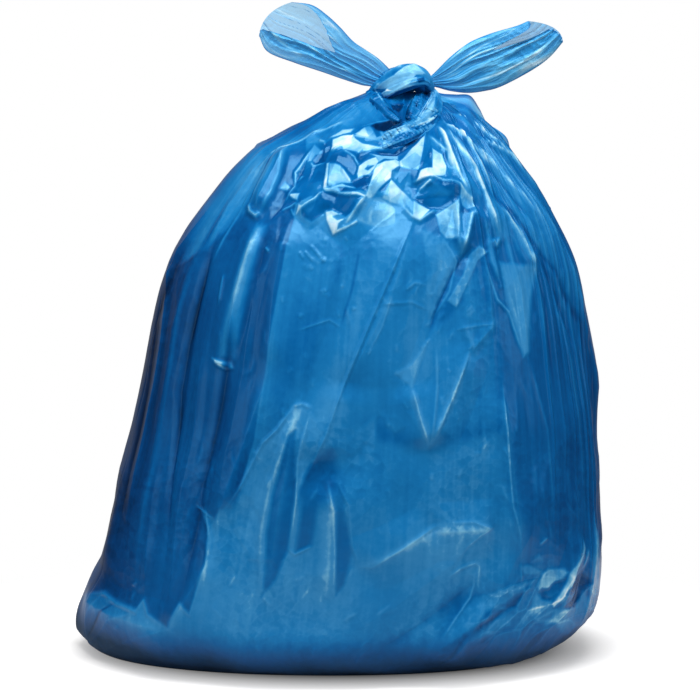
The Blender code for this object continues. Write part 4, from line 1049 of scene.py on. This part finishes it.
# The two ears: the sack's mouth, flattened into two layers of film and spread out. Edges are in pixels, from
# the knot to the mouth. The near layer ends at the rim: pairs of (place across, from -1 at the lower edge to
# 1 at the upper one, and share of the length that the layer reaches there).
ears = dict(
    columns=150,
    rows=84,
    rootForward=4,  # millimetres towards the camera
    gathers=(3.6, 0.050, 1.9),  # how many, how deep as a share of the ear's width, how sharp
    fine=(10.4, 0.012, 1.6),
    crinkles=(9, 1.3, 1.4),  # their size in pixels, millimetres out, how sharp
    creased=(2.6, 12.0),  # thin dark lines: how many, how sharp
    bright=(2.2, 9.0),  # and thin bright ones
    hemWidth=0.07,
    # how dense the film is: at the root, at the near layer's band, in the far layer, in hems, at the least
    rootBody=0.98,
    bandBody=0.92,
    farBody=0.62,
    hemBody=0.75,
    leastBody=0.12,
    # the plain film's tone, what the next four add to it, and what the last three take from it
    # paler gathers, fine gathers and bright lines are painted highlights
    tones=dict(
        plain=0.50, fine=0.08, gathered=0.22, mouth=0.12, bright=0.30, root=0.14, hem=0.3, creased=0.22),
    leftEar=dict(
        lower=[(376, 92), (372, 87), (361, 85), (342, 79), (322, 72), (295, 63), (268, 52), (259, 36)],
        upper=[
            (396, 80), (392, 72), (379, 59), (366, 50), (353, 41), (340, 27), (327, 15), (312, 5), (292, 2)],
        mouth=8, tipForward=-6, bulge=7,
        rim=[
            (-1, 1.0), (-0.75, 1.0), (-0.5, 0.95), (-0.3, 0.84), (-0.15, 0.62), (0.1, 0.47), (0.3, 0.54),
            (0.55, 0.62), (0.8, 0.74), (0.93, 0.90), (1, 1.0)],
        band=(-0.30, 0.62), clear=0.38, seed=3.0),
    rightEar=dict(
        lower=[
            (428, 90), (434, 87), (450, 91), (468, 93), (485, 91), (500, 87), (522, 76), (540, 65), (552, 55),
            (563, 42)],
        upper=[(424, 80), (433, 74), (448, 59), (460, 49), (472, 41), (492, 33), (516, 26), (528, 21)],
        mouth=9, tipForward=-4, bulge=7,
        rim=[
            (-1, 1.0), (-0.2, 0.99), (0.12, 0.97), (0.22, 0.80), (0.3, 0.64), (0.36, 0.60), (0.45, 0.70),
            (0.6, 0.90), (0.8, 0.97), (1, 1.0)],
        band=(-0.1, 1.3), clear=0.86, seed=8.0),
)


def earShape(ear, near):
    # where the layer's points lie in the picture, and how far each is across the ear and along it
    t = np.linspace(-1, 1, ears["rows"])[:, None] * np.ones((1, ears["columns"]))
    s = np.ones((ears["rows"], 1)) * np.linspace(0, 1, ears["columns"])[None, :]
    hem = 1 - smooth(1 - np.abs(t), 0.0, ears["hemWidth"])
    if near:
        hem = np.maximum(hem, smooth(s, 0.975, 1.0))
        limit = np.interp(t, *zip(*ear["rim"]))
        limit += 0.018 * noiseAt(t * 9, ear["seed"], 0.0) * (np.abs(t) < 0.95)
        s = s * np.minimum(limit, 1.0)
    lower, upper = smoothPath(ear["lower"], 200), smoothPath(ear["upper"], 200)
    steps = np.linspace(0, 1, 200)
    edges = [np.stack([np.interp(s, steps, line[:, i]) for i in (0, 1)], axis=-1) for line in (lower, upper)]
    share = (1 + t) / 2
    spot = edges[0] * (1 - share[..., None]) + edges[1] * share[..., None]
    axis = (lower[-1] + upper[-1] - lower[0] - upper[0])
    axis /= np.linalg.norm(axis)
    spot += axis * (ear["mouth"] * (1 - t**2) * smooth(s, 0.5, 1.0))[..., None]
    return spot, np.linalg.norm(edges[1] - edges[0], axis=-1), t, s, hem


def earLayer(ear, near):
    spot, width, t, s, hem = earShape(ear, near)
    seed = ear["seed"] + (0 if near else 20)
    # lengthwise gathers, which fan out from the knot and soften towards the mouth, and crinkles over them
    bent = t + 0.16 * noiseAt(s * 3.5, t * 1.2, seed + 2)
    (count, deep, sharp), (fineCount, fineDeep, fineSharp) = ears["gathers"], ears["fine"]
    gathered = crests(noiseAt(bent * count, s * 1.8, seed), sharp)
    fine = crests(noiseAt(bent * fineCount, s * 3.6, seed + 5), fineSharp)
    count, sharp = ears["creased"]
    creased = crests(noiseAt(bent * count, s * 1.0, seed + 13), sharp)
    count, sharp = ears["bright"]
    bright = crests(noiseAt(bent * count, s * 1.2, seed + 17), sharp) * smooth(s, 0.05, 0.2)
    size, crinkleOut, sharp = ears["crinkles"]
    crinkle = crests(noiseAt(spot[..., 0] / size, spot[..., 1] / size, seed + 9), sharp)
    rounded = np.sqrt(np.clip(1 - t**2, 0, 1))
    out = ear["bulge"] * rounded * (0.35 + 0.65 * smooth(s, 0.0, 0.6))
    out += rounded * (deep * width * (gathered - 0.5) * (1 - 0.35 * s) + fineDeep * width * (fine - 0.5)
                      + crinkleOut * crinkle * smooth(s, 0.3, 0.9))
    forward = ears["rootForward"] + (ear["tipForward"] - ears["rootForward"]) * s + (out if near else -out)
    points = fromPicture(spot[..., 0], spot[..., 1], forward / 1000)
    middle, spread = ear["band"]
    band = np.exp(-(((t - middle) / spread) ** 2))
    body = (ears["rootBody"] - ear["clear"]) * (1 - smooth(s, 0.20, 1.05)) * (0.30 + 0.70 * band)
    body = (ear["clear"] + body) * (0.80 + 0.35 * gathered)
    if near:
        body = np.maximum(body, ears["bandBody"] * smooth(s, 0.1, 0.3) * band)
    else:
        body *= ears["farBody"]
    body = np.maximum(body, ears["hemBody"] * np.maximum(hem, creased))
    tones = ears["tones"]
    # painted highlights on the gathers' crests and along the bright lines
    tone = tones["plain"] + tones["fine"] * fine + tones["gathered"] * gathered
    tone -= tones["root"] * (1 - smooth(s, 0.0, 0.3))
    tone += tones["mouth"] * (1 - band) * s
    tone += tones["bright"] * bright - np.maximum(tones["hem"] * hem, tones["creased"] * creased)
    return points, dict(tone=np.clip(tone, 0, mostTone), body=np.clip(body, ears["leastBody"], 1))


leftEar, rightEar = (
    filmPiece(name, [earLayer(ears[ear], near) for near in (False, True)])
    for name, ear in (("left_ear", "leftEar"), ("right_ear", "rightEar")))

# A loose fold of film that stands up from the right shoulder, with its free edge and its foot in pixels
flap = dict(
    edge=[
        (430, 88), (440, 93), (455, 94), (470, 95), (479, 108), (487, 124), (496, 130), (507, 139),
        (513, 158), (528, 178), (551, 208)],
    foot=[
        (432, 112), (440, 120), (450, 130), (462, 142), (475, 154), (488, 168), (500, 182), (515, 200),
        (530, 218), (548, 240)],
    columns=160,
    rows=40,
    forward=0.004,  # metres that its free edge lies in front of the bag's middle
    sunk=-0.002,  # and that its foot lies over the film, or under it if negative
    swell=0.008,
    gatherDepth=0.004,
    fineDepth=0.0012,
    swellUp=0.4,  # how far it swells upwards, as a share of how far it swells forwards
    tones=(0.22, 0.34, 0.20, 0.2),  # plain film, what gathers and fine ones add, and what the hem takes away
)


def onWall(spots, lift):
    # the film's place under these pixels, and a little in front of it
    wall, _ = wallAt(np.linspace(-1.5, 1.5, 240), np.linspace(0.3, 1.0, 240))
    lifted = (wall + facingOut(wall, False) * lift).reshape(-1, 3)
    across, down = seenAt(wall)
    return np.array([lifted[np.argmin((across - x) ** 2 + (down - y) ** 2)] for x, y in spots])


def shoulderFlap():
    edge = smoothPath(flap["edge"], flap["columns"])
    foot = onWall(smoothPath(flap["foot"], flap["columns"]), flap["sunk"])
    free = fromPicture(edge[:, 0], edge[:, 1], flap["forward"])
    s = np.linspace(0, 1, flap["columns"])[None, :] * np.ones((flap["rows"], 1))
    t = np.linspace(0, 1, flap["rows"])[:, None] * np.ones((1, flap["columns"]))
    points = foot[None] * (1 - t[..., None]) + free[None] * t[..., None]
    gathered = crests(noiseAt(t * 3.5, s * 1.6, 31.0), 1.8)
    fine = crests(noiseAt(t * 9, s * 3, 36.0), 1.6)
    swell = flap["swell"] * np.sin(math.pi * t) * smooth(s, 0, 0.3)
    swell = swell + flap["gatherDepth"] * (gathered - 0.4) * t + flap["fineDepth"] * fine
    points[..., 1] -= swell
    points[..., 2] += flap["swellUp"] * swell
    hem = smooth(t, 0.93, 1.0)
    plain, atGathers, atFine, atHem = flap["tones"]
    # gathers are paler on their crests, as painted highlights
    tone = plain + atGathers * gathered + atFine * fine - atHem * hem
    body = np.clip(1.0 - 0.16 * t - 0.20 * (gathered - 0.5) * t + 0.2 * hem, 0.5, 1)
    return points, dict(tone=np.clip(tone, 0, 1), body=body)


flapFilm = filmPiece("shoulder_flap", [shoulderFlap()])

# The knot: gathered strands of film, each a path of (pixel across, pixel down, millimetres in front of the
# bag's middle, radius). Where the film stands further forward, the strand lies on it.
knot = dict(
    steps=90,
    aroundSteps=84,
    pleats=4.5,
    pleatDepth=0.24,  # of the strand's radius
    twist=12.0,  # radians for each metre
    crushSize=0.009,
    crushDepth=0.0007,
    seed=4.0,
    nextSeed=7.3,
    levels=(0.4, 0.35),  # of a dished facet, where it changes neither depth nor tone
    # the next three paint shade between the pleats and highlights on their crests and on ridges between facets
    betweenPleats=0.18,  # how much deeper the tone is there
    crestTone=0.30,  # and how much paler on the pleats' crests
    ridgeTone=0.55,  # and on ridges between facets
    crushed=0.7,  # how far the strands' film has the gloss of crushed film
    sunk=0.4,  # share of its radius that a strand is sunk into the film
    onFilmBelow=100,  # pixels down from which strands lie on the film
    strands=dict(
        # each with the tone of its film, which paints the knot's light and shade: pale for the lit hood, near
        # black for the pocket in shade
        hood=(0.86, [
            (372, 93, 8, 5), (380, 88, 14, 8), (392, 83, 20, 11), (406, 78, 24, 12.5), (418, 79, 26, 12),
            (425, 86, 26, 9), (430, 94, 24, 5)]),
        hoodBack=(0.74, [(376, 92, -14, 8), (392, 82, -10, 12), (412, 79, -10, 12), (428, 87, -12, 8)]),
        hoodRim=(0.95, [
            (382, 97, 26, 3), (391, 92, 33, 4.5), (403, 87, 37, 5), (414, 83, 38, 5), (424, 82, 36, 4),
            (429, 86, 32, 3)]),
        band=(0.84, [
            (431, 90, 22, 4), (435, 99, 28, 6), (434, 110, 36, 8), (427, 120, 44, 9), (414, 128, 52, 9.5),
            (400, 134, 56, 9), (388, 139, 55, 6), (380, 142, 50, 2)]),
        bandLow=(0.55, [
            (436, 108, 28, 5), (432, 121, 42, 6), (420, 132, 50, 7), (405, 140, 54, 7), (392, 145, 54, 5),
            (382, 148, 50, 2)]),
        rightFold=(0.82, [(430, 93, 28, 3.5), (428, 102, 33, 4.5), (422, 113, 41, 4.5), (414, 123, 50, 3.5)]),
        leftFold=(0.50, [
            (371, 92, 10, 5), (376, 101, 20, 6.5), (382, 109, 29, 7), (390, 117, 38, 6), (399, 123, 46, 4)]),
        innerLobe=(0.50, [(423, 96, 24, 6), (419, 104, 30, 8), (414, 112, 36, 7.5), (409, 120, 42, 4.5)]),
        pocket=(0.06, [(386, 96, 0, 14), (400, 104, 4, 18), (406, 116, 14, 17), (402, 128, 30, 14)]),
    ),
)


def strandTree(material):
    # a strand's path becomes a tube with uneven lengthwise pleats, crushed into small facets
    tree = bpy.data.node_groups.new("gathered strand", "GeometryNodeTree")
    tree.interface.new_socket("Geometry", in_out="INPUT", socket_type="NodeSocketGeometry")
    for name in ("Pleats", "Pleat Depth", "Twist", "Crush Size", "Crush Depth", "Seed", "Tone"):
        tree.interface.new_socket(name, in_out="INPUT", socket_type="NodeSocketFloat")
    tree.interface.new_socket("Geometry", in_out="OUTPUT", socket_type="NodeSocketGeometry")
    given = node(tree, "NodeGroupInput").outputs

    # the tube, which carries how far along and round it each point lies
    spline = node(tree, "GeometryNodeSplineParameter").outputs
    radius = node(tree, "GeometryNodeInputRadius").outputs[0]
    circle = node(tree, "GeometryNodeCurvePrimitiveCircle", {
        "Resolution": knot["aroundSteps"], "Radius": 1.0})
    rail = node(tree, "GeometryNodeCaptureAttribute")
    section = node(tree, "GeometryNodeCaptureAttribute")
    for capture, curve, fields in (
            (rail, given["Geometry"], {"along": spline["Length"], "size": radius}),
            (section, circle.outputs["Curve"], {"around": spline["Factor"]})):
        tree.links.new(curve, capture.inputs[0])
        for name, field in fields.items():
            capture.capture_items.new("FLOAT", name)
            tree.links.new(field, capture.inputs[name])
    along, size = rail.outputs["along"], rail.outputs["size"]
    tube = node(tree, "GeometryNodeCurveToMesh", {
        "Curve": rail, "Profile Curve": section, "Scale": size, "Fill Caps": True})

    # pleats: noise read on a circle, so that it closes on itself, and turned by the twist
    turn = node(tree, "ShaderNodeMath", {0: section.outputs["around"], 1: 2 * math.pi}, operation="MULTIPLY")
    turn = node(tree, "ShaderNodeMath", {0: along, 1: given["Twist"], 2: turn}, operation="MULTIPLY_ADD")
    spread = node(tree, "ShaderNodeMath", {0: given["Pleats"], 1: 2 * math.pi}, operation="DIVIDE")
    place = {2: node(tree, "ShaderNodeMath", {0: along, 1: 16.0, 2: given["Seed"]}, operation="MULTIPLY_ADD")}
    for axis, operation in enumerate(("COSINE", "SINE")):
        place[axis] = node(tree, "ShaderNodeMath", {0: turn}, operation=operation)
        place[axis] = node(tree, "ShaderNodeMath", {0: place[axis], 1: spread}, operation="MULTIPLY")
    place = node(tree, "ShaderNodeCombineXYZ", place)
    crest = node(tree, "ShaderNodeTexNoise", {"Vector": place, "Scale": 1.0, "Detail": 1.0})
    for operation, inputs in (
            ("SUBTRACT", {1: 0.5}), ("ABSOLUTE", {}), ("MULTIPLY_ADD", {1: -5.0, 2: 1.0}),
            ("MAXIMUM", {1: 0.0})):
        crest = node(tree, "ShaderNodeMath", {0: crest, **inputs}, operation=operation)

    # small dished facets
    cells = node(tree, "ShaderNodeMath", {0: 1.0, 1: given["Crush Size"]}, operation="DIVIDE")
    position = node(tree, "GeometryNodeInputPosition")
    dished = node(tree, "ShaderNodeTexVoronoi", {"Vector": position, "Scale": cells}, feature="F1",
                  distance="EUCLIDEAN").outputs["Distance"]
    dished = node(tree, "ShaderNodeMath", {0: dished, 1: dished}, operation="MULTIPLY")

    noDepth, noTone = knot["levels"]
    depth = node(tree, "ShaderNodeMath", {0: given["Pleat Depth"], 1: size}, operation="MULTIPLY")
    out = node(tree, "ShaderNodeMath", {0: crest, 1: 0.5}, operation="SUBTRACT")
    out = node(tree, "ShaderNodeMath", {0: out, 1: depth}, operation="MULTIPLY")
    level = node(tree, "ShaderNodeMath", {0: dished, 1: noDepth}, operation="SUBTRACT")
    out = node(tree, "ShaderNodeMath", {0: level, 1: given["Crush Depth"], 2: out}, operation="MULTIPLY_ADD")
    normal = node(tree, "GeometryNodeInputNormal")
    offset = node(tree, "ShaderNodeVectorMath", {0: normal, "Scale": out}, operation="SCALE")
    made = node(tree, "GeometryNodeSetPosition", {"Geometry": tube, "Offset": offset})

    # tone: painted shade between pleats, painted highlights on their crests and on the facets' ridges
    tone = node(tree, "ShaderNodeMath", {0: given["Tone"], 1: knot["betweenPleats"]}, operation="SUBTRACT")
    tone = node(tree, "ShaderNodeMath", {0: crest, 1: knot["crestTone"], 2: tone}, operation="MULTIPLY_ADD")
    level = node(tree, "ShaderNodeMath", {0: dished, 1: noTone}, operation="SUBTRACT")
    tone = node(tree, "ShaderNodeMath", {0: level, 1: knot["ridgeTone"], 2: tone}, operation="MULTIPLY_ADD")
    for name, value in (("tone", tone), ("crushed", knot["crushed"])):
        made = node(tree, "GeometryNodeStoreNamedAttribute", {"Geometry": made, "Name": name, "Value": value},
                    data_type="FLOAT", domain="POINT")
    made = node(tree, "GeometryNodeSetShadeSmooth", {"Geometry": made})
    made = node(tree, "GeometryNodeRealizeInstances", {"Geometry": made})
    made = node(tree, "GeometryNodeSetMaterial", {"Geometry": made, "Material": material})
    node(tree, "NodeGroupOutput", {0: made})
    return tree


def paintKnot(mesh):
    # gives a strand the facets and crests that the front of the knot shows, with their painted highlights and
    # shade
    count = len(mesh.vertices)
    places, normals, tone = np.empty(3 * count), np.empty(3 * count), np.empty(count)
    mesh.vertices.foreach_get("co", places)
    mesh.vertex_normals.foreach_get("vector", normals)
    mesh.attributes["tone"].data.foreach_get("value", tone)
    places, normals = places.reshape(-1, 3), normals.reshape(-1, 3)
    facing = smooth(-normals @ sight, 0.0, 0.25)
    across, down = seenAt(places)
    areas = [(value, out, crush["edges"]["strand"], outline) for value, out, outline in knotFacets]
    depth, tone = paintFolds(across, down, facing, tone, areas, [], knotRidges, bevel=1.0)
    mesh.vertices.foreach_set("co", (places + normals * depth[:, None]).reshape(-1))
    mesh.attributes["tone"].data.foreach_set("value", np.clip(tone, 0, mostTone))
    mesh.update()


def knotStrands(material):
    tree = strandTree(material)
    pieces = []
    for k, (name, (tone, path)) in enumerate(knot["strands"].items()):
        line = smoothPath(path, knot["steps"])
        curve = bpy.data.curves.new(name, "CURVE")
        curve.dimensions = "3D"
        spline = curve.splines.new("POLY")
        spline.points.add(len(line) - 1)
        for point, (x, y, forward, radius), place in zip(spline.points, line, onWall(line[:, :2], 0.0)):
            # the pocket lies behind the others, and not on the film
            onFilm = -place[1] - knot["sunk"] / 1000 * radius
            free = y <= knot["onFilmBelow"] or name == "pocket"
            point.co = (*fromPicture(x, y, forward / 1000 if free else max(forward / 1000, onFilm)), 1)
            point.radius = radius / 1000
        paths = placed(name, curve)
        modifier = paths.modifiers.new("gathered strand", "NODES")
        modifier.node_group = tree
        values = {"Pleats": knot["pleats"], "Pleat Depth": knot["pleatDepth"], "Twist": knot["twist"],
                  "Crush Size": knot["crushSize"], "Crush Depth": knot["crushDepth"],
                  "Seed": knot["seed"] + knot["nextSeed"] * k, "Tone": tone}
        for item in tree.interface.items_tree:
            if item.name in values:
                modifier[item.identifier] = values[item.name]
        bpy.context.view_layer.update()
        evaluated = paths.evaluated_get(bpy.context.evaluated_depsgraph_get())
        mesh = bpy.data.meshes.new_from_object(evaluated)
        bpy.data.objects.remove(paths)
        paintKnot(mesh)
        pieces.append(placed("knot_" + name, mesh))
        report("knot_" + name, "has", len(mesh.polygons), "faces")
    return pieces


bagFilm = filmPiece("bag_film", [filmSkin()], closed=True)
frontFilm = inQuarters("front_film", *filmFront())

# Blown polythene film: glossy and faintly see-through, deep blue where it hangs free, and pale where it lies
# on the load, which throws light back through it. Its tones also carry painted highlights and painted shade.
filmLook = dict(
    # from hanging film and painted shade, over film that lies on the load, to painted highlights where film
    # catches the light
    tones=((0.0, "#001f46"), (0.25, "#00427f"), (0.5, "#005ea1"), (0.72, "#1577b7"), (0.88, "#368bc5"),
           (1.0, "#70b4da"), (1.1, "#a9d4ea"), (mostTone, "#e0f0f8")),
    # the same for one or two layers with light behind them
    thinTones=((0.0, "#0a4f93"), (0.3, "#116bb2"), (0.55, "#2b92d2"), (0.75, "#5cb2e2"), (0.9, "#8dcbea"),
               (1.0, "#b4dcf0"), (mostTone, "#e4f3fa")),
    mottle=0.16,  # how uneven the tone is
    mottleSize=7,  # millimetres, as the two below
    streakSize=9,
    wrinkleSize=16,
    streakScale=(1.0, 1.0, 0.12),  # streaks are drawn out upwards
    streakBump=(0.14, 0.0010),  # strength, and height in metres
    wrinkleBump=(0.11, 0.0014),
    roughness=(0.30, 0.20),  # of film stretched over the load, and of crushed film
    gloss=(0.45, 0.38),
    glossTint="#8fdcff",
    clearTint="#b4dcf6",  # one layer against white light
)


def blownFilm(name, thin):
    material, tree = emptyMaterial(name)
    tone = node(tree, "ShaderNodeAttribute", attribute_name="tone").outputs["Fac"]
    place = node(tree, "ShaderNodeTexCoord").outputs["Object"]
    mottled = node(tree, "ShaderNodeTexNoise", {
        "Vector": place, "Scale": 1000 / filmLook["mottleSize"], "Detail": 3.0, "Roughness": 0.6})
    mottled = node(tree, "ShaderNodeMath", {0: mottled, 1: 0.5}, operation="SUBTRACT")
    uneven = node(tree, "ShaderNodeMath", {
        0: mottled, 1: filmLook["mottle"], 2: tone}, operation="MULTIPLY_ADD")
    share = node(tree, "ShaderNodeMath", {0: uneven, 1: mostTone}, operation="DIVIDE")
    ramp = node(tree, "ShaderNodeValToRGB", {"Fac": share})
    tones = filmLook["thinTones" if thin else "tones"]
    stops = ramp.color_ramp.elements
    while len(stops) < len(tones):
        stops.new(0.5)
    for stop, (at, code) in zip(stops, tones):
        stop.position = at / mostTone
        stop.color = linear(code)

    # long streaks, and small wrinkles over them
    drawn = node(tree, "ShaderNodeMapping", {"Vector": place, "Scale": filmLook["streakScale"]})
    streaks = node(tree, "ShaderNodeTexNoise", {
        "Vector": drawn, "Scale": 1000 / filmLook["streakSize"], "Detail": 3.0, "Roughness": 0.55})
    wrinkles = node(tree, "ShaderNodeTexNoise", {
        "Vector": place, "Scale": 1000 / filmLook["wrinkleSize"], "Detail": 2.5, "Roughness": 0.5,
        "Distortion": 0.6})
    strength, tall = filmLook["streakBump"]
    bump = node(tree, "ShaderNodeBump", {"Height": streaks, "Strength": strength, "Distance": tall})
    strength, tall = filmLook["wrinkleBump"]
    bump = node(tree, "ShaderNodeBump", {
        "Height": wrinkles, "Strength": strength, "Distance": tall, "Normal": bump})

    # film that is stretched over the load is duller than film that is crushed
    crushed = node(tree, "ShaderNodeAttribute", attribute_name="crushed").outputs["Fac"]
    rough, gloss = (
        node(tree, "ShaderNodeMapRange", {
            "Value": crushed, "To Min": stretched, "To Max": creased}, clamp=False)
        for stretched, creased in (filmLook["roughness"], filmLook["gloss"]))
    gloss = node(tree, "ShaderNodeMath", {0: gloss, 1: 0.0}, operation="MAXIMUM")
    made = node(tree, "ShaderNodeBsdfPrincipled", {
        "Base Color": ramp, "Roughness": rough, "Specular IOR Level": gloss,
        "Specular Tint": linear(filmLook["glossTint"]), "Normal": bump})
    if thin:
        # where few layers lie over each other the film is nearly clear
        body = node(tree, "ShaderNodeAttribute", attribute_name="body").outputs["Fac"]
        clear = node(tree, "ShaderNodeBsdfTransparent", {"Color": linear(filmLook["clearTint"])})
        made = node(tree, "ShaderNodeMixShader", {0: body, 1: clear, 2: made})
    node(tree, "ShaderNodeOutputMaterial", {"Surface": made})
    return material


blueFilm = blownFilm("blown polythene film", False)
thinFilm = blownFilm("single blown polythene film", True)
knotFilm = knotStrands(blueFilm)
for piece in (bagFilm, *frontFilm, *knotFilm, leftEar, rightEar, flapFilm):
    if piece not in knotFilm:
        piece.data.materials.append(thinFilm if piece in (leftEar, rightEar, flapFilm) else blueFilm)
    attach(piece, "root")
    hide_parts("bin_bag")

# Floor, lights and camera

studio = dict(
    # lamps: where each stands, what it aims at, its width and height, and its power
    leftLamp=((-1.7, -1.2, 0.9), (0, 0, 0.3), 0.35, 1.5, 4),
    rightLamp=((1.7, -0.9, 1.0), (0, 0, 0.3), 0.35, 1.5, 4),
    topLamp=((0.0, -0.70, 1.9), (0, 0, 0.40), 1.3, 0.8, 30),
    ambient=0.42,
    roomGloss=0.01,  # how bright the room in front of the bag is to its gloss
    backGloss=0.30,  # and the backdrop
    backdrop=(0.75, 0.98),  # how far back a direction points where the backdrop starts and is full
    floorRadius=0.56,
    floorSides=96,
    paper=(0.72, 0.71, 0.70, 1),
    whiteOval=(0.78, 1.0, 1.0),  # the far white begins round an oval
    whiteFrom=(0.26, 0.42),
    footOval=(0.55, 1.0, 1.0),  # and the glow that keeps the shadow small, round a narrower one
    glowFrom=(0.112, 0.168),
    glow=0.66,
)

rim = [2 * math.pi * k / studio["floorSides"] for k in range(studio["floorSides"])]
floorMesh = bpy.data.meshes.new("floor")
floorMesh.from_pydata(
    [(studio["floorRadius"] * math.cos(a), studio["floorRadius"] * math.sin(a), -0.0005) for a in rim], [],
    [tuple(range(len(rim)))])
floor = placed("floor", floorMesh)


def whiteFloor():
    # matt white paper near the bag, which takes its shadow, and plain white further off
    material, tree = emptyMaterial("white paper floor")
    place = node(tree, "ShaderNodeTexCoord").outputs["Object"]
    seen = node(tree, "ShaderNodeLightPath").outputs
    # the bag is wider than it is deep, so its shadow is too
    away, fromFoot = (
        node(tree, "ShaderNodeVectorMath", {
            0: node(tree, "ShaderNodeMapping", {"Vector": place, "Scale": studio[oval]})},
            operation="LENGTH").outputs["Value"]
        for oval in ("whiteOval", "footOval"))
    near, full = studio["whiteFrom"]
    far = node(tree, "ShaderNodeMapRange", {
        "Value": away, "From Min": near, "From Max": full}, interpolation_type="SMOOTHSTEP")
    near, full = studio["glowFrom"]
    glow = node(tree, "ShaderNodeMapRange", {
        "Value": fromFoot, "From Min": near, "From Max": full, "To Min": 0.0, "To Max": studio["glow"]})
    glow = node(tree, "ShaderNodeMath", {0: glow, 1: seen["Is Camera Ray"]}, operation="MULTIPLY")
    paper = node(tree, "ShaderNodeBsdfPrincipled", {
        "Base Color": studio["paper"], "Roughness": 0.9, "Emission Color": (1, 1, 1, 1),
        "Emission Strength": glow})
    white = node(tree, "ShaderNodeEmission", {"Color": (1, 1, 1, 1), "Strength": 1.0})
    share = seen["Is Camera Ray"]
    for ray in ("Is Transmission Ray", "Is Glossy Ray"):
        share = node(tree, "ShaderNodeMath", {0: share, 1: seen[ray]}, operation="MAXIMUM")
    share = node(tree, "ShaderNodeMath", {0: share, 1: far}, operation="MULTIPLY")
    both = node(tree, "ShaderNodeMixShader", {0: share, 1: paper, 2: white})
    node(tree, "ShaderNodeOutputMaterial", {"Surface": both})
    return material


floorMesh.materials.append(whiteFloor())

for name in ("leftLamp", "rightLamp", "topLamp"):
    place, aimAt, width, height, power = studio[name]
    lamp = bpy.data.lights.new(name, "AREA")
    lamp.shape = "RECTANGLE"
    lamp.size = width
    lamp.size_y = height
    lamp.energy = power
    holder = placed(name, lamp)
    holder.location = place
    holder.rotation_euler = (Vector(aimAt) - Vector(place)).to_track_quat("-Z", "Y").to_euler()

world = bpy.data.worlds.new("studio")
bpy.context.scene.world = world
world.use_nodes = True
tree = world.node_tree
tree.nodes.clear()
# white to the camera, and to gloss and glass too where the white backdrop stands, behind the bag
seen = node(tree, "ShaderNodeLightPath").outputs
direction = node(tree, "ShaderNodeSeparateXYZ", {0: node(tree, "ShaderNodeTexCoord").outputs["Generated"]})
start, full = studio["backdrop"]
behind = node(tree, "ShaderNodeMapRange", {
    "Value": direction.outputs["Y"], "From Min": start, "From Max": full, "To Min": studio["roomGloss"],
    "To Max": studio["backGloss"]})
mirrored = node(tree, "ShaderNodeMath", {
    0: seen["Is Glossy Ray"], 1: seen["Is Transmission Ray"]}, operation="MAXIMUM")
level = node(tree, "ShaderNodeMix", {0: mirrored, 2: studio["ambient"], 3: behind})
level = node(tree, "ShaderNodeMix", {0: seen["Is Camera Ray"], 2: level, 3: 1.0})
background = node(tree, "ShaderNodeBackground", {"Color": (1, 1, 1, 1), "Strength": level})
node(tree, "ShaderNodeOutputWorld", {"Surface": background})

camera = bpy.data.cameras.new("camera")
camera.sensor_width = 36
camera.lens = camera.sensor_width * photo["distance"] / photo["metresAcross"]
holder = placed("camera", camera)
holder.location = eye
holder.rotation_euler = Vector(sight).to_track_quat("-Z", "Y").to_euler()
bpy.context.scene.camera = holder
bpy.context.scene.view_settings.view_transform = "Standard"
report("stage and camera made")
